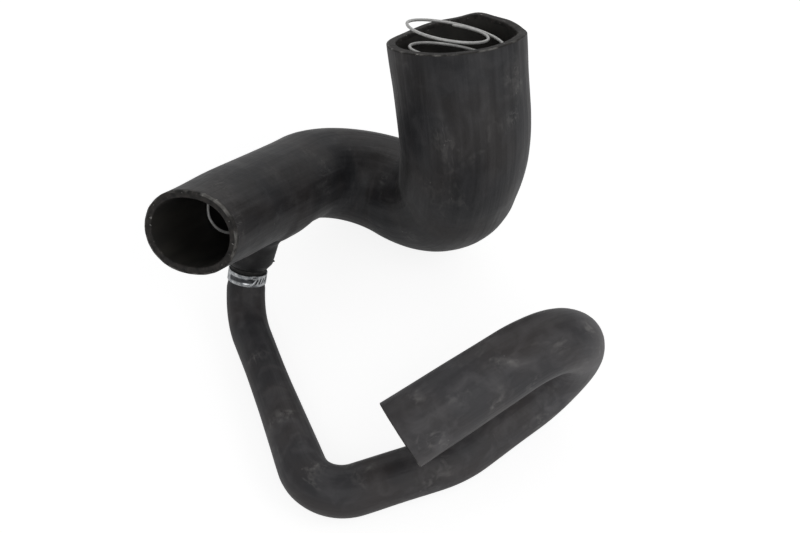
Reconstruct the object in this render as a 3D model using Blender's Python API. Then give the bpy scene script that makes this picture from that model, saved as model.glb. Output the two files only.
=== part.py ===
"""Charge air hose: a moulded reducer hose with a support spring and a clamped branch hose.

Metres, +Z up. The hose lies on its side as it comes to rest: on the underside of its main bend and
on the lower run of the branch hose.
"""
import math

import bmesh
import bpy
from mathutils import Matrix, Vector

# Main hose: outer diameters and walls
SMALL_END_OD = 0.060
SMALL_END_WALL = 0.005
BIG_END_OD = 0.0889
BIG_END_WALL = 0.006
BIG_MOUTH_FLARE = 0.0008
BIG_MOUTH_FLARE_LENGTH = 0.030
SMALL_MOUTH_OVAL = 0.10
SMALL_MOUTH_OVAL_LENGTH = 0.060

# Main hose: the centreline's corners from the small mouth to the big mouth, and their bend radii
MAIN_CORNERS = (
    Vector((-0.1141, -0.0184, 0.1270)),
    Vector((-0.0305, 0.1387, 0.0334)),
    Vector((0.0505, 0.0845, 0.0360)),
    Vector((0.0590, 0.0715, 0.1152)),
    Vector((0.0514, 0.1039, 0.1807)),
)
MAIN_BEND_RADII = (0.0485, 0.0505, 0.0729)
MAIN_TAPER_START = 0.124
MAIN_TAPER_END = 0.397

# Boss on the small tube, which the connector pipe is moulded into
BOSS_ALONG_TUBE = 0.0877
BOSS_DIRECTION = Vector((-0.168, -0.446, -0.879))
BOSS_HEIGHT = 0.0170
BOSS_TIP_OD = 0.0314
BOSS_ROOT_OD = 0.0346
BOSS_FOOT_FLARE = 0.0020
BOSS_NOSE_LENGTH = 0.0037

# Connector pipe between the boss and the branch hose; it ends where the hose starts to bend
PIPE_OD = 0.0176
PIPE_WALL = 0.0013
PIPE_INTO_BOSS = 0.0145
PIPE_INTO_HOSE = 0.0115

# Branch hose: outer diameters along its length and its wall; at the clamp its bore fits the pipe
HOSE_CLAMP_END_OD = 0.0257
HOSE_ELBOW_OD = 0.0328
HOSE_RETURN_OD = 0.0412
HOSE_FREE_END_OD = 0.0458
HOSE_WALL = 0.0045
HOSE_FIRST_TAPER = (0.079, 0.203)
HOSE_SECOND_TAPER = (0.339, 0.449)

# Branch hose: its first corner lies on the boss's axis, this far from the hose's start; then the
# centreline's other corners, and the bend radii of all but the last
HOSE_FIRST_CORNER = 0.0334
HOSE_CORNERS = (
    Vector((-0.0364, -0.1421, HOSE_ELBOW_OD/2)),
    Vector((0.0506, -0.1085, HOSE_ELBOW_OD/2)),
    Vector((0.1274, -0.0427, 0.0195)),
    Vector((0.1230, -0.0704, 0.1057)),
    Vector((0.0153, -0.1242, 0.0616)),
)
HOSE_BEND_RADII = (0.0354, 0.0263, 0.0803, 0.0336, 0.0403)

# Cut edges of the rubber
RIM_CHAMFER = 0.0006

# Support spring inside the main hose
WIRE = 0.002
SPRING_START = 0.060
SPRING_START_PITCH = 0.033
SPRING_START_PITCH_LENGTH = 0.036
SPRING_PITCH = 0.01908
SPRING_TOP_PITCH = 0.0150
SPRING_CLEARANCE = 0.0007
SPRING_TOP_CLEARANCE = 0.0076
SPRING_CLEARANCE_GROWS_FROM = 0.290
SPRING_TOP_PHASE = math.radians(180)
SPRING_TOP_RISE = 0.0033
SPRING_TOP_LEAN = math.radians(14)
SPRING_LEAN_LENGTH = 0.085
TOP_RING_RADIUS = 0.0254
TOP_RING_TURN = math.radians(262)
TOP_RING_DROP = 0.0034
START_RING_RADIUS = 0.0142
START_RING_TURN = math.radians(250)

# Worm-drive clamp over the branch hose
CLAMP_EDGE_FROM_HOSE_END = 0.0032
CLAMP_GRIP = 0.0008
CLAMP_GRIP_BESIDE_BAND = 0.0018
CLAMP_GRIP_EASE = 0.0015
BAND_WIDTH = 0.008
BAND_THICKNESS = 0.0006
BAND_LAP_ANGLE = math.radians(62)
BAND_START_ANGLE = math.radians(285)
BAND_SLOTS = 18
BAND_SLOT_PITCH = math.radians(11.2)
BAND_SLOT_LENGTH = 0.0042
BAND_SLOT_WIDTH = 0.0011
BAND_SLOT_SLANT = math.radians(-24)
HOUSING_LENGTH = 0.0125
HOUSING_WALL = 0.0010
SCREW_THREAD_OD = 0.0066
SCREW_HEAD_ACROSS_FLATS = 0.0070
SCREW_HEAD_HEIGHT = 0.0042
SCREW_FLANGE_OD = 0.0088
SCREW_FLANGE_THICKNESS = 0.0008
SCREW_SLOT = 0.0012
SCREW_TAIL = 0.0010

# Gap that neighbouring pieces keep
GAP = 0.0003

# Facets
MAIN_SIDES = 32
HOSE_SIDES = 24
BAND_STEPS_PER_TURN = 48
WIRE_SIDES = 6
STEPS_PER_COIL = 16
BEND_STEP = math.radians(10)
STRAIGHT_STEP = 0.024

CUT_OVERRUN = 0.004


class Route:
    """A centreline of straight runs joined by arcs, measured along its length."""

    def __init__(self, corners, radii):
        self.pieces = []
        self.length = 0.0
        here = corners[0]
        for before, corner, after, radius in zip(corners, corners[1:], corners[2:], radii):
            back = (before - corner).normalized()
            onward = (after - corner).normalized()
            half = back.angle(onward)/2
            cut = radius/math.tan(half)
            self.add_line(here, corner + back*cut)
            centre = corner + (back + onward).normalized()*radius/math.sin(half)
            spoke = (corner + back*cut - centre).normalized()
            self.add_piece("arc", radius*(math.pi - 2*half), (centre, spoke, -back, radius))
            here = corner + onward*cut
        self.add_line(here, corners[-1])

    def add_line(self, start, end):
        self.add_piece("line", (end - start).length, (start, (end - start).normalized()))

    def add_piece(self, kind, length, data):
        self.pieces.append((kind, self.length, length, data))
        self.length += length

    def at(self, distance):
        """The place and the direction at a distance from the start; beyond an end it runs straight."""
        for kind, start, length, data in self.pieces:
            if distance <= start + length:
                break
        along = distance - start
        if kind == "line":
            return data[0] + data[1]*along, data[1]
        centre, spoke, heading, radius = data
        turn = along/radius
        place = centre + radius*(math.cos(turn)*spoke + math.sin(turn)*heading)
        return place, math.cos(turn)*heading - math.sin(turn)*spoke

    def stations(self, extra=()):
        """Distances that follow the bends closely and the straight runs loosely."""
        marks = {0.0, self.length}
        for kind, start, length, data in self.pieces:
            step = BEND_STEP*data[3] if kind == "arc" else STRAIGHT_STEP
            count = max(1, math.ceil(length/step))
            marks.update(start + length*i/count for i in range(count + 1))
        kept = sorted(set(extra))
        for mark in sorted(marks):
            if all(abs(mark - other) > 0.0025 for other in kept):
                kept.append(mark)
        return sorted(kept)


def eased(value):
    """0 to 1 with a soft start and end."""
    value = min(max(value, 0.0), 1.0)
    return value*value*(3 - 2*value)


def blend(distance, start, end, before, after):
    return before + (after - before)*eased((distance - start)/(end - start))


def across(vector, direction):
    """The part of a vector that lies square to a direction, at length one."""
    return (vector - direction*vector.dot(direction)).normalized()


def rubber():
    return make_material("epdm_rubber", (0.022, 0.022, 0.024), 0.55, 0.0)


def make_material(name, colour, roughness, metallic):
    material = bpy.data.materials.get(name)
    if material is None:
        material = bpy.data.materials.new(name)
        material.use_nodes = True
        shader = material.node_tree.nodes["Principled BSDF"]
        shader.inputs["Base Color"].default_value = (*colour, 1.0)
        shader.inputs["Roughness"].default_value = roughness
        shader.inputs["Metallic"].default_value = metallic
        material.diffuse_color = (*colour, 1.0)
    return material


def make_object(name, bm, material, frame=None, sharp_angle=35):
    """A named object from a bmesh, placed by a matrix and parented to the assembly."""
    bmesh.ops.recalc_face_normals(bm, faces=bm.faces)
    mesh = bpy.data.meshes.new(name)
    bm.to_mesh(mesh)
    bm.free()
    mesh.shade_smooth()
    mesh.set_sharp_from_angle(angle=math.radians(sharp_angle))
    mesh.materials.append(material)
    obj = bpy.data.objects.new(name, mesh)
    bpy.context.collection.objects.link(obj)
    obj.parent = bpy.data.objects["assembly"]
    if frame is not None:
        obj.matrix_local = frame
    return obj


def make_cutter(name, bm, frame=None):
    cutter = make_object(name, bm, rubber(), frame)
    cutter.hide_render = True
    cutter.display_type = "WIRE"
    return cutter


def boolean(obj, operation, other):
    modifier = obj.modifiers.new(operation.lower() + "_" + other.name, "BOOLEAN")
    modifier.operation = operation
    modifier.solver = "EXACT"
    modifier.object = other


def loft(rings):
    """A closed bmesh through rings of points that all have the same number of points."""
    bm = bmesh.new()
    rows = [[bm.verts.new(point) for point in ring] for ring in rings]
    for low, high in zip(rows, rows[1:]):
        for i in range(len(low)):
            j = (i + 1) % len(low)
            bm.faces.new((low[i], low[j], high[j], high[i]))
    bm.faces.new(list(reversed(rows[0])))
    bm.faces.new(rows[-1])
    return bm


def sweep(stations, radius_at, sides):
    """A solid along stations of (distance, place, direction); its radius goes by distance and turn."""
    turns = [2*math.pi*i/sides for i in range(sides)]
    side = Vector((1, 0, 0)) if abs(stations[0][2].x) < 0.9 else Vector((0, 0, 1))
    rings = []
    for distance, place, direction in stations:
        side = across(side, direction)
        other = direction.cross(side)
        rings.append([place + radius_at(distance, t)*(math.cos(t)*side + math.sin(t)*other) for t in turns])
    return loft(rings)


def turned(profile, sides):
    """A solid turned about Z from (radius, height) points, from its foot to its top."""
    turns = [2*math.pi*i/sides for i in range(sides)]
    return loft([[Vector((r*math.cos(t), r*math.sin(t), z)) for t in turns] for r, z in profile])


def axis_frame(origin, direction, towards):
    """A matrix whose Z runs along a direction and whose X points as near as it can to another."""
    z_axis = direction.normalized()
    x_axis = across(towards, z_axis)
    y_axis = z_axis.cross(x_axis)
    return Matrix.Translation(origin) @ Matrix((x_axis, y_axis, z_axis)).transposed().to_4x4()


MAIN = Route(MAIN_CORNERS, MAIN_BEND_RADII)


def oval_mouth(distance, turn):
    """How much the small mouth is squeezed out of round, more to nothing along its tube."""
    fade = 1 - eased(distance/SMALL_MOUTH_OVAL_LENGTH)
    return SMALL_END_OD/2*SMALL_MOUTH_OVAL*math.cos(2*turn)*fade


def main_outer_radius(distance, turn=math.pi/4):
    body = blend(distance, MAIN_TAPER_START, MAIN_TAPER_END, SMALL_END_OD/2, BIG_END_OD/2)
    flare_start = MAIN.length - BIG_MOUTH_FLARE_LENGTH
    flare = blend(distance, flare_start, MAIN.length, 0.0, BIG_MOUTH_FLARE)
    return body + flare + oval_mouth(distance, turn)


def main_bore_radius(distance, turn=math.pi/4):
    wall = blend(distance, MAIN_TAPER_START, MAIN_TAPER_END, SMALL_END_WALL, BIG_END_WALL)
    return main_outer_radius(distance, turn) - wall


def rimmed(radius_at, length, change):
    """A radius with a chamfer at both cut ends: change is negative outside and positive in a bore."""
    def radius(distance, turn):
        from_end = min(max(distance, 0.0), max(length - distance, 0.0))
        plain = radius_at(min(max(distance, 0.0), length), turn)
        return plain + change*max(0.0, 1 - from_end/RIM_CHAMFER)
    return radius


def hose_solids(name, route, outer_radius, bore_radius, sides, extra=()):
    """The outer form of a hose and the cutter for its bore, which runs out past both cut ends."""
    rims = [0.0, RIM_CHAMFER, route.length - RIM_CHAMFER, route.length]
    marks = route.stations(rims + list(extra))
    outside = [(s, *route.at(s)) for s in marks]
    inside = [(s, *route.at(s)) for s in [-CUT_OVERRUN] + marks + [route.length + CUT_OVERRUN]]
    outer = rimmed(outer_radius, route.length, -RIM_CHAMFER)
    bore = rimmed(bore_radius, route.length, RIM_CHAMFER)
    hose = make_object(name, sweep(outside, outer, sides), rubber())
    return hose, make_cutter(name + "_bore_cutter", sweep(inside, bore, sides))


# The boss stands square to the small tube; everything on its axis is placed from the tube's centre
TUBE_PLACE, TUBE_DIRECTION = MAIN.at(BOSS_ALONG_TUBE)
BOSS_AXIS = across(BOSS_DIRECTION, TUBE_DIRECTION)
BOSS_FRAME = axis_frame(TUBE_PLACE, BOSS_AXIS, Vector((1, 0, 0)))
BOSS_TIP = SMALL_END_OD/2 + BOSS_HEIGHT
HOSE_START = BOSS_TIP + GAP
HOSE_START_PLACE = TUBE_PLACE + BOSS_AXIS*HOSE_START

HOSE_FIRST_PLACE = HOSE_START_PLACE + BOSS_AXIS*HOSE_FIRST_CORNER

BRANCH = Route((HOSE_START_PLACE, HOSE_FIRST_PLACE) + HOSE_CORNERS, HOSE_BEND_RADII)
PIPE_BORE = PIPE_OD/2 + GAP
HOSE_CLAMP_END_WALL = HOSE_CLAMP_END_OD/2 - PIPE_BORE
CLAMP_FROM_HOSE_END = CLAMP_EDGE_FROM_HOSE_END + BAND_WIDTH/2
CLAMP_GRIP_REACH = BAND_WIDTH/2 + CLAMP_GRIP_BESIDE_BAND


def grip(distance):
    """How far the clamp squeezes the branch hose's outside in."""
    from_band = abs(distance - CLAMP_FROM_HOSE_END) - CLAMP_GRIP_REACH
    return CLAMP_GRIP*(1 - eased(from_band/CLAMP_GRIP_EASE))


def hose_plain_radius(distance):
    """The outside of the branch hose where nothing squeezes it."""
    first = blend(distance, *HOSE_FIRST_TAPER, HOSE_CLAMP_END_OD/2, HOSE_ELBOW_OD/2)
    second = blend(distance, *HOSE_SECOND_TAPER, 0.0, (HOSE_RETURN_OD - HOSE_ELBOW_OD)/2)
    last = (distance - HOSE_SECOND_TAPER[1])/(BRANCH.length - HOSE_SECOND_TAPER[1])
    return first + second + (HOSE_FREE_END_OD - HOSE_RETURN_OD)/2*min(max(last, 0.0), 1.0)


def hose_outer_radius(distance, turn):
    return hose_plain_radius(distance) - grip(distance)


def hose_bore_radius(distance, turn):
    return hose_plain_radius(distance) - blend(distance, *HOSE_FIRST_TAPER, HOSE_CLAMP_END_WALL, HOSE_WALL)


def build_main_hose():
    """The reducer hose, with the boss joined on and both bores cut through."""
    tapers = (MAIN_TAPER_START, MAIN.length - BIG_MOUTH_FLARE_LENGTH)
    hose, bore = hose_solids("main_hose", MAIN, main_outer_radius, main_bore_radius, MAIN_SIDES, tapers)
    surface = SMALL_END_OD/2
    root = BOSS_ROOT_OD/2
    tip = BOSS_TIP_OD/2
    foot = math.sqrt(max(surface**2 - root**2, 0.0))
    nose = HOSE_CLAMP_END_OD/2 + RIM_CHAMFER
    profile = (
        (root + BOSS_FOOT_FLARE, surface/3),
        (root + BOSS_FOOT_FLARE, foot + 0.001),
        (root, surface),
        (tip, BOSS_TIP - BOSS_NOSE_LENGTH),
        (nose, BOSS_TIP),
    )
    boss = make_cutter("boss_form", turned(profile, HOSE_SIDES), BOSS_FRAME)
    stub_bore = turned(((PIPE_BORE, 0.0), (PIPE_BORE, BOSS_TIP + CUT_OVERRUN)), HOSE_SIDES)
    boolean(hose, "UNION", boss)
    boolean(hose, "DIFFERENCE", bore)
    boolean(hose, "DIFFERENCE", make_cutter("boss_bore_cutter", stub_bore, BOSS_FRAME))


def build_connector_pipe():
    """The short pipe that the boss and the branch hose share."""
    radius = PIPE_OD/2
    start = BOSS_TIP - PIPE_INTO_BOSS
    end = HOSE_START + PIPE_INTO_HOSE
    nose = radius - PIPE_WALL/2
    profile = ((radius, start), (radius, end - PIPE_WALL/2), (nose, end))
    pipe = make_object("connector_pipe", turned(profile, HOSE_SIDES),
                       make_material("black_nylon", (0.03, 0.03, 0.03), 0.5, 0.0), BOSS_FRAME)
    inside = radius - PIPE_WALL
    through = turned(((inside, start - CUT_OVERRUN), (inside, end + CUT_OVERRUN)), HOSE_SIDES)
    boolean(pipe, "DIFFERENCE", make_cutter("pipe_bore_cutter", through, BOSS_FRAME))


def build_branch_hose():
    reaches = (CLAMP_GRIP_REACH, CLAMP_GRIP_REACH + CLAMP_GRIP_EASE)
    squeeze = [CLAMP_FROM_HOSE_END + sign*reach for sign in (-1, 1) for reach in reaches]
    marks = [mark for mark in squeeze if mark > 2*RIM_CHAMFER] + list(HOSE_FIRST_TAPER + HOSE_SECOND_TAPER)
    hose, bore = hose_solids("branch_hose", BRANCH, hose_outer_radius, hose_bore_radius, HOSE_SIDES, marks)
    boolean(hose, "DIFFERENCE", bore)


def coil_radius(distance):
    """Radius of the spring wire's centreline, which widens with the bore."""
    clearance = blend(distance, SPRING_CLEARANCE_GROWS_FROM, MAIN.length,
                      SPRING_CLEARANCE, SPRING_TOP_CLEARANCE)
    inside = min(distance, MAIN.length)
    return main_bore_radius(inside) - clearance - WIRE/2


def coil_phases():
    """Distances and phases along the coil, from the big mouth down to the start of the small ring."""
    step = 2*math.pi/STEPS_PER_COIL
    distance = MAIN.length + SPRING_TOP_RISE
    phase = SPRING_TOP_PHASE
    long_pitch_end = SPRING_START + SPRING_START_PITCH_LENGTH
    marks = []
    while distance > SPRING_START:
        marks.append((distance, phase))
        pitch = blend(distance, MAIN.length - 0.06, MAIN.length - 0.02, SPRING_PITCH, SPRING_TOP_PITCH)
        pitch += blend(distance, long_pitch_end - 0.4*SPRING_START_PITCH_LENGTH, long_pitch_end,
                       SPRING_START_PITCH - SPRING_PITCH, 0.0)
        distance -= pitch/STEPS_PER_COIL
        phase -= step
    return marks


def ring_offset(radius, ring):
    """How far a smaller end ring is set aside so that it starts on the coil."""
    return radius - ring


def build_support_spring():
    """A tapering coil with a smaller closed ring at each end; its last turns lean over."""
    marks = coil_phases()
    side = across(Vector((1, 0, 0)), MAIN.at(MAIN.length)[1])
    points = []
    for distance, phase in marks:
        place, direction = MAIN.at(distance)
        side = across(side, direction)
        other = direction.cross(side)
        lean = math.tan(SPRING_TOP_LEAN)*eased(1 - (MAIN.length - distance)/SPRING_LEAN_LENGTH)
        radius = coil_radius(distance)
        spoke = radius*(math.cos(phase)*side + math.sin(phase)*other)
        points.append(place + spoke - direction*lean*radius*math.cos(phase))
    points.reverse()

    place, direction = MAIN.at(MAIN.length + SPRING_TOP_RISE)
    side = across(Vector((1, 0, 0)), direction)
    other = direction.cross(side)
    centre = -ring_offset(coil_radius(MAIN.length), TOP_RING_RADIUS)
    count = round(TOP_RING_TURN/(2*math.pi)*STEPS_PER_COIL)
    for i in range(1, count + 1):
        phase = SPRING_TOP_PHASE + TOP_RING_TURN*i/count
        x = centre + TOP_RING_RADIUS*math.cos(phase)
        y = TOP_RING_RADIUS*math.sin(phase)
        rise = -TOP_RING_DROP*i/count - math.tan(SPRING_TOP_LEAN)*x
        points.append(place + x*side + y*other + rise*direction)

    distance, phase = marks[-1]
    place, direction = MAIN.at(distance)
    radius = coil_radius(distance)
    towards = (points[0] - place).normalized()
    turning = direction.cross(towards)
    centre = ring_offset(radius, START_RING_RADIUS)
    count = round(START_RING_TURN/(2*math.pi)*STEPS_PER_COIL)
    for i in range(1, count + 1):
        turn = START_RING_TURN*i/count
        x = centre + START_RING_RADIUS*math.cos(turn)
        y = -START_RING_RADIUS*math.sin(turn)
        points.insert(0, place + x*towards + y*turning - direction*WIRE*0.5*i/count)

    stations = []
    for i, point in enumerate(points):
        ahead = points[min(i + 1, len(points) - 1)]
        behind = points[max(i - 1, 0)]
        stations.append((0.0, point, (ahead - behind).normalized()))
    make_object("support_spring", sweep(stations, lambda distance, turn: WIRE/2, WIRE_SIDES),
                make_material("galvanised_wire", (0.55, 0.56, 0.57), 0.35, 0.9))


# The clamp's frame: Z along the hose, X towards the side that the slots show on. The hose already
# drifts off that axis a little at the band's far edge, where its first bend begins
CLAMP_PLACE = HOSE_START_PLACE + BOSS_AXIS*CLAMP_FROM_HOSE_END
CLAMP_FRAME = axis_frame(CLAMP_PLACE, BOSS_AXIS, Vector((1, 0, 0)))
BAND_FAR_EDGE = CLAMP_FROM_HOSE_END + BAND_WIDTH/2
HOSE_DRIFT = (BRANCH.at(BAND_FAR_EDGE)[0] - HOSE_START_PLACE - BOSS_AXIS*BAND_FAR_EDGE).length
BAND_INNER = HOSE_CLAMP_END_OD/2 - CLAMP_GRIP + GAP + HOSE_DRIFT
LAP_RISE = BAND_THICKNESS + GAP
BAND_TOP = BAND_INNER + BAND_THICKNESS + LAP_RISE
SCREW_HEIGHT = BAND_TOP + GAP + SCREW_THREAD_OD/2


def band_radius(angle):
    """Inner radius of the strip: it climbs over its own start before the housing."""
    climb_end = 2*math.pi - math.radians(14)
    return BAND_INNER + blend(angle, climb_end - math.radians(30), climb_end, 0.0, LAP_RISE)


def build_clamp_band():
    """The band as one strip round the hose, its slotted tail lapped over its start."""
    total = 2*math.pi + BAND_LAP_ANGLE
    steps = round(total/(2*math.pi)*BAND_STEPS_PER_TURN)
    rings = []
    for i in range(steps + 1):
        angle = total*i/steps
        inner = band_radius(angle)
        turn = BAND_START_ANGLE - angle
        spoke = Vector((math.cos(turn), math.sin(turn), 0))
        corners = ((0, -1), (1, -1), (1, 1), (0, 1))
        rings.append([spoke*(inner + out*BAND_THICKNESS) + Vector((0, 0, half*BAND_WIDTH/2))
                      for out, half in corners])
    band = make_object("clamp_band", loft(rings), zinc(), CLAMP_FRAME)
    slots = bmesh.new()
    for i in range(BAND_SLOTS):
        angle = total - math.radians(14) - i*BAND_SLOT_PITCH
        cut_slot(slots, BAND_START_ANGLE - angle, band_radius(angle) + BAND_THICKNESS/2)
    boolean(band, "DIFFERENCE", make_cutter("slot_cutters", slots, CLAMP_FRAME))


def cut_slot(bm, turn, radius):
    """One slanted slot's cutter, just thicker than the strip so that it leaves the lap below whole."""
    middle = Matrix.Rotation(turn, 4, "Z") @ Matrix.Translation((radius, 0, 0))
    place = middle @ Matrix.Rotation(BAND_SLOT_SLANT, 4, "X")
    size = Matrix.Diagonal((BAND_THICKNESS + GAP, BAND_SLOT_WIDTH, BAND_SLOT_LENGTH, 1.0))
    bmesh.ops.create_cube(bm, size=1.0, matrix=place @ size)


def zinc():
    return make_material("zinc_plated_steel", (0.62, 0.63, 0.64), 0.3, 1.0)


HOUSING_ANGLE = BAND_START_ANGLE - math.radians(20)
HOUSING_FRAME = CLAMP_FRAME @ Matrix.Rotation(HOUSING_ANGLE, 4, "Z")


def build_clamp_housing():
    """The pressed saddle: two cheeks beside the band and a barrel over the screw."""
    bore = SCREW_THREAD_OD/2 + GAP
    barrel = bore + HOUSING_WALL
    cheek = BAND_WIDTH/2 + GAP + HOUSING_WALL
    low = BAND_INNER + BAND_THICKNESS + GAP
    # Outline across the hose, in the (out, along) plane, lofted along the screw
    arch = [(SCREW_HEIGHT + barrel*math.sin(t), barrel*math.cos(t))
            for t in (math.pi*i/10 for i in range(11))]
    feet = [(low, cheek), (SCREW_HEIGHT - bore, cheek)]
    outline = feet + arch + [(x, -z) for x, z in reversed(feet)]
    rings = [[Vector((x, y, z)) for x, z in outline] for y in (-HOUSING_LENGTH/2, HOUSING_LENGTH/2)]
    housing = make_object("clamp_housing", loft(rings), zinc(), HOUSING_FRAME)
    screw_bore = turned(((bore, -HOUSING_LENGTH), (bore, HOUSING_LENGTH)), 20)
    lie = Matrix.Translation((SCREW_HEIGHT, 0, 0)) @ Matrix.Rotation(math.radians(90), 4, "X")
    boolean(housing, "DIFFERENCE", make_cutter("screw_bore_cutter", screw_bore, HOUSING_FRAME @ lie))
    channel_radius = BAND_TOP + GAP
    half = BAND_WIDTH/2 + GAP
    channel = turned(((channel_radius, -half), (channel_radius, half)), BAND_STEPS_PER_TURN)
    boolean(housing, "DIFFERENCE", make_cutter("band_channel_cutter", channel, CLAMP_FRAME))


def build_clamp_screw():
    """The worm screw: thread barrel, flange and slotted hexagon head."""
    thread = SCREW_THREAD_OD/2
    end = HOUSING_LENGTH/2
    flange = end + GAP
    profile = (
        (thread*0.7, -end - SCREW_TAIL), (thread, -end), (thread, flange),
        (SCREW_FLANGE_OD/2, flange), (SCREW_FLANGE_OD/2, flange + SCREW_FLANGE_THICKNESS),
    )
    lie = Matrix.Translation((SCREW_HEIGHT, 0, 0)) @ Matrix.Rotation(math.radians(90), 4, "X")
    frame = HOUSING_FRAME @ lie
    screw = make_object("clamp_screw", turned(profile, 20), zinc(), frame)
    corner = SCREW_HEAD_ACROSS_FLATS/2/math.cos(math.radians(30))
    base = flange + SCREW_FLANGE_THICKNESS/2
    top = base + SCREW_HEAD_HEIGHT
    head = turned(((corner, base), (corner, top - 0.0005), (corner*0.88, top)), 6)
    boolean(screw, "UNION", make_cutter("hex_form", head, frame))
    slot = bmesh.new()
    size = Matrix.Diagonal((SCREW_HEAD_ACROSS_FLATS*2, SCREW_SLOT, SCREW_HEAD_HEIGHT, 1.0))
    bmesh.ops.create_cube(slot, size=1.0, matrix=Matrix.Translation((0, 0, top)) @ size)
    boolean(screw, "DIFFERENCE", make_cutter("screw_slot_cutter", slot, frame))


def set_on_floor():
    """Moves the assembly so that the middle of its footprint is over the origin and it rests at zero."""
    bpy.context.view_layer.update()
    graph = bpy.context.evaluated_depsgraph_get()
    points = []
    for obj in bpy.data.objects:
        if obj.type == "MESH" and not obj.hide_render:
            shape = obj.evaluated_get(graph).to_mesh()
            points.extend(obj.matrix_world @ vert.co for vert in shape.vertices)
    low = Vector(min(point[i] for point in points) for i in range(3))
    high = Vector(max(point[i] for point in points) for i in range(3))
    middle = (low + high)/2
    bpy.data.objects["assembly"].location = (-middle.x, -middle.y, -low.z)
    bpy.context.view_layer.update()


def main():
    for obj in list(bpy.data.objects):
        bpy.data.objects.remove(obj)
    assembly = bpy.data.objects.new("assembly", None)
    bpy.context.collection.objects.link(assembly)
    build_main_hose()
    build_support_spring()
    build_connector_pipe()
    build_branch_hose()
    build_clamp_band()
    build_clamp_housing()
    build_clamp_screw()
    set_on_floor()


main()
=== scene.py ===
# %% [markdown]
# A moulded reducer hose with a branch hose clamped to its side, as found between an engine's air
# pipes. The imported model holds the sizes, and this lesson gives each piece its real shape and skin.
# We load that model first and remember its box, because nothing made later may grow out of it.

# %% Load the model
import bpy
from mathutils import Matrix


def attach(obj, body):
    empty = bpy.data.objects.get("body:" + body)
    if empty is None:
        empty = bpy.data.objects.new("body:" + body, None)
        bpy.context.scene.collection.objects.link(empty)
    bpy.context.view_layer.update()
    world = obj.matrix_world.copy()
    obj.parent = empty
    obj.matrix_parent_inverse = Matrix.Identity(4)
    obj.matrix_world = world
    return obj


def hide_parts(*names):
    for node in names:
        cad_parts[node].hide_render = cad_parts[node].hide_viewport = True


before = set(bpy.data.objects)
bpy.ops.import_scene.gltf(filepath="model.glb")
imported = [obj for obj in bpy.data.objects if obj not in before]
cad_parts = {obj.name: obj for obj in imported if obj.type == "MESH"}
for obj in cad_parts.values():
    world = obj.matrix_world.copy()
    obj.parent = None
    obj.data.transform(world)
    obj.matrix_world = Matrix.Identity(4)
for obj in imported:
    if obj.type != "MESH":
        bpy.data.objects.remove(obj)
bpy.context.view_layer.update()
print("nodes:", sorted(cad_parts))

# %% [markdown]
# Lengths are metres, as in the model, and MM keeps sizes readable. Shapes are made point by point
# with bmesh. They could be modelled by hand with curves and a bevel, but code repeats a size exactly.

# %% Libraries and units
import math

import bmesh
import bpy
import numpy as np
from mathutils import Matrix, Vector, noise

MM = 0.001
FULL_TURN = 2 * math.pi

# %% [markdown]
# Colours are easiest to read as sRGB hex, as in a paint chart, but the shaders work in linear light.
# One function turns the first into the second. A second one adds a shader node, sets its values and
# feeds it from other nodes, so that each material below reads as a short recipe.

# %% Colours and nodes
def linear(hex_colour):
    """An sRGB hex colour as linear red, green, blue and alpha."""
    channels = [int(hex_colour[i:i + 2], 16) / 255 for i in (1, 3, 5)]
    return (*[c / 12.92 if c <= 0.04045 else ((c + 0.055) / 1.055) ** 2.4 for c in channels], 1.0)


def add_node(tree, kind, settings=None, inputs=None):
    """Adds a node: settings are its own properties, inputs are values or the outputs that feed it."""
    new = tree.nodes.new(kind)
    for key, value in (settings or {}).items():
        setattr(new, key, value)
    for key, value in (inputs or {}).items():
        if isinstance(value, bpy.types.NodeSocket):
            tree.links.new(value, new.inputs[key])
        else:
            new.inputs[key].default_value = value
    return new


print("charcoal in linear light:", [round(v, 4) for v in linear("#2E2E30")[:3]])

# %% [markdown]
# A moulded hose is cured on a bent steel mandrel, so its middle is made of straight runs joined by
# arcs. A curve object could follow them, but we want to know each distance along the hose, so we
# work the path out ourselves from its corners and bend radii.

# %% Paths with rounded corners
PATH_STEP = 1 * MM
SAME_PLACE = 1e-7
MAIN_CORNERS = (
    (-0.1141, -0.0184, 0.1270),
    (-0.0305, 0.1387, 0.0334),
    (0.0505, 0.0845, 0.0360),
    (0.0590, 0.0715, 0.1152),
    (0.0514, 0.1039, 0.1807),
)
MAIN_BEND_RADII = (0.0485, 0.0505, 0.0729)


def rounded_path(corners, radii):
    """Points along a path whose corners are rounded by arcs."""
    corners = [Vector(corner) for corner in corners]
    points = [corners[0]]
    for before, corner, after, radius in zip(corners, corners[1:], corners[2:], radii):
        back = (before - corner).normalized()
        onward = (after - corner).normalized()
        half = back.angle(onward) / 2
        centre = corner + (back + onward).normalized() * radius / math.sin(half)
        spoke = corner + back * radius / math.tan(half) - centre
        sweep = math.pi - 2 * half
        count = math.ceil(radius * sweep / PATH_STEP)
        for i in range(count + 1):
            turn = sweep * i / count
            points.append(centre + math.cos(turn) * spoke - math.sin(turn) * radius * back)
    return points + [corners[-1]]


def filled(points):
    """Adds points along the straight runs, so that every stretch is finely sampled."""
    dense = [points[0]]
    for end in points[1:]:
        start = dense[-1]
        count = max(1, math.ceil((end - start).length / PATH_STEP - 0.01))
        if (end - start).length > SAME_PLACE:
            dense.extend(start.lerp(end, i / count) for i in range(1, count + 1))
    return dense


print("points on the main hose's path:", len(filled(rounded_path(MAIN_CORNERS, MAIN_BEND_RADII))))

# %% [markdown]
# To set a ring of points round any place, we also need the path's direction there and an arrow to
# the side. If the arrow were worked out afresh at each place it could spin, and the skin would
# twist with it, so we carry one arrow along and only straighten it up after each step.

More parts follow.
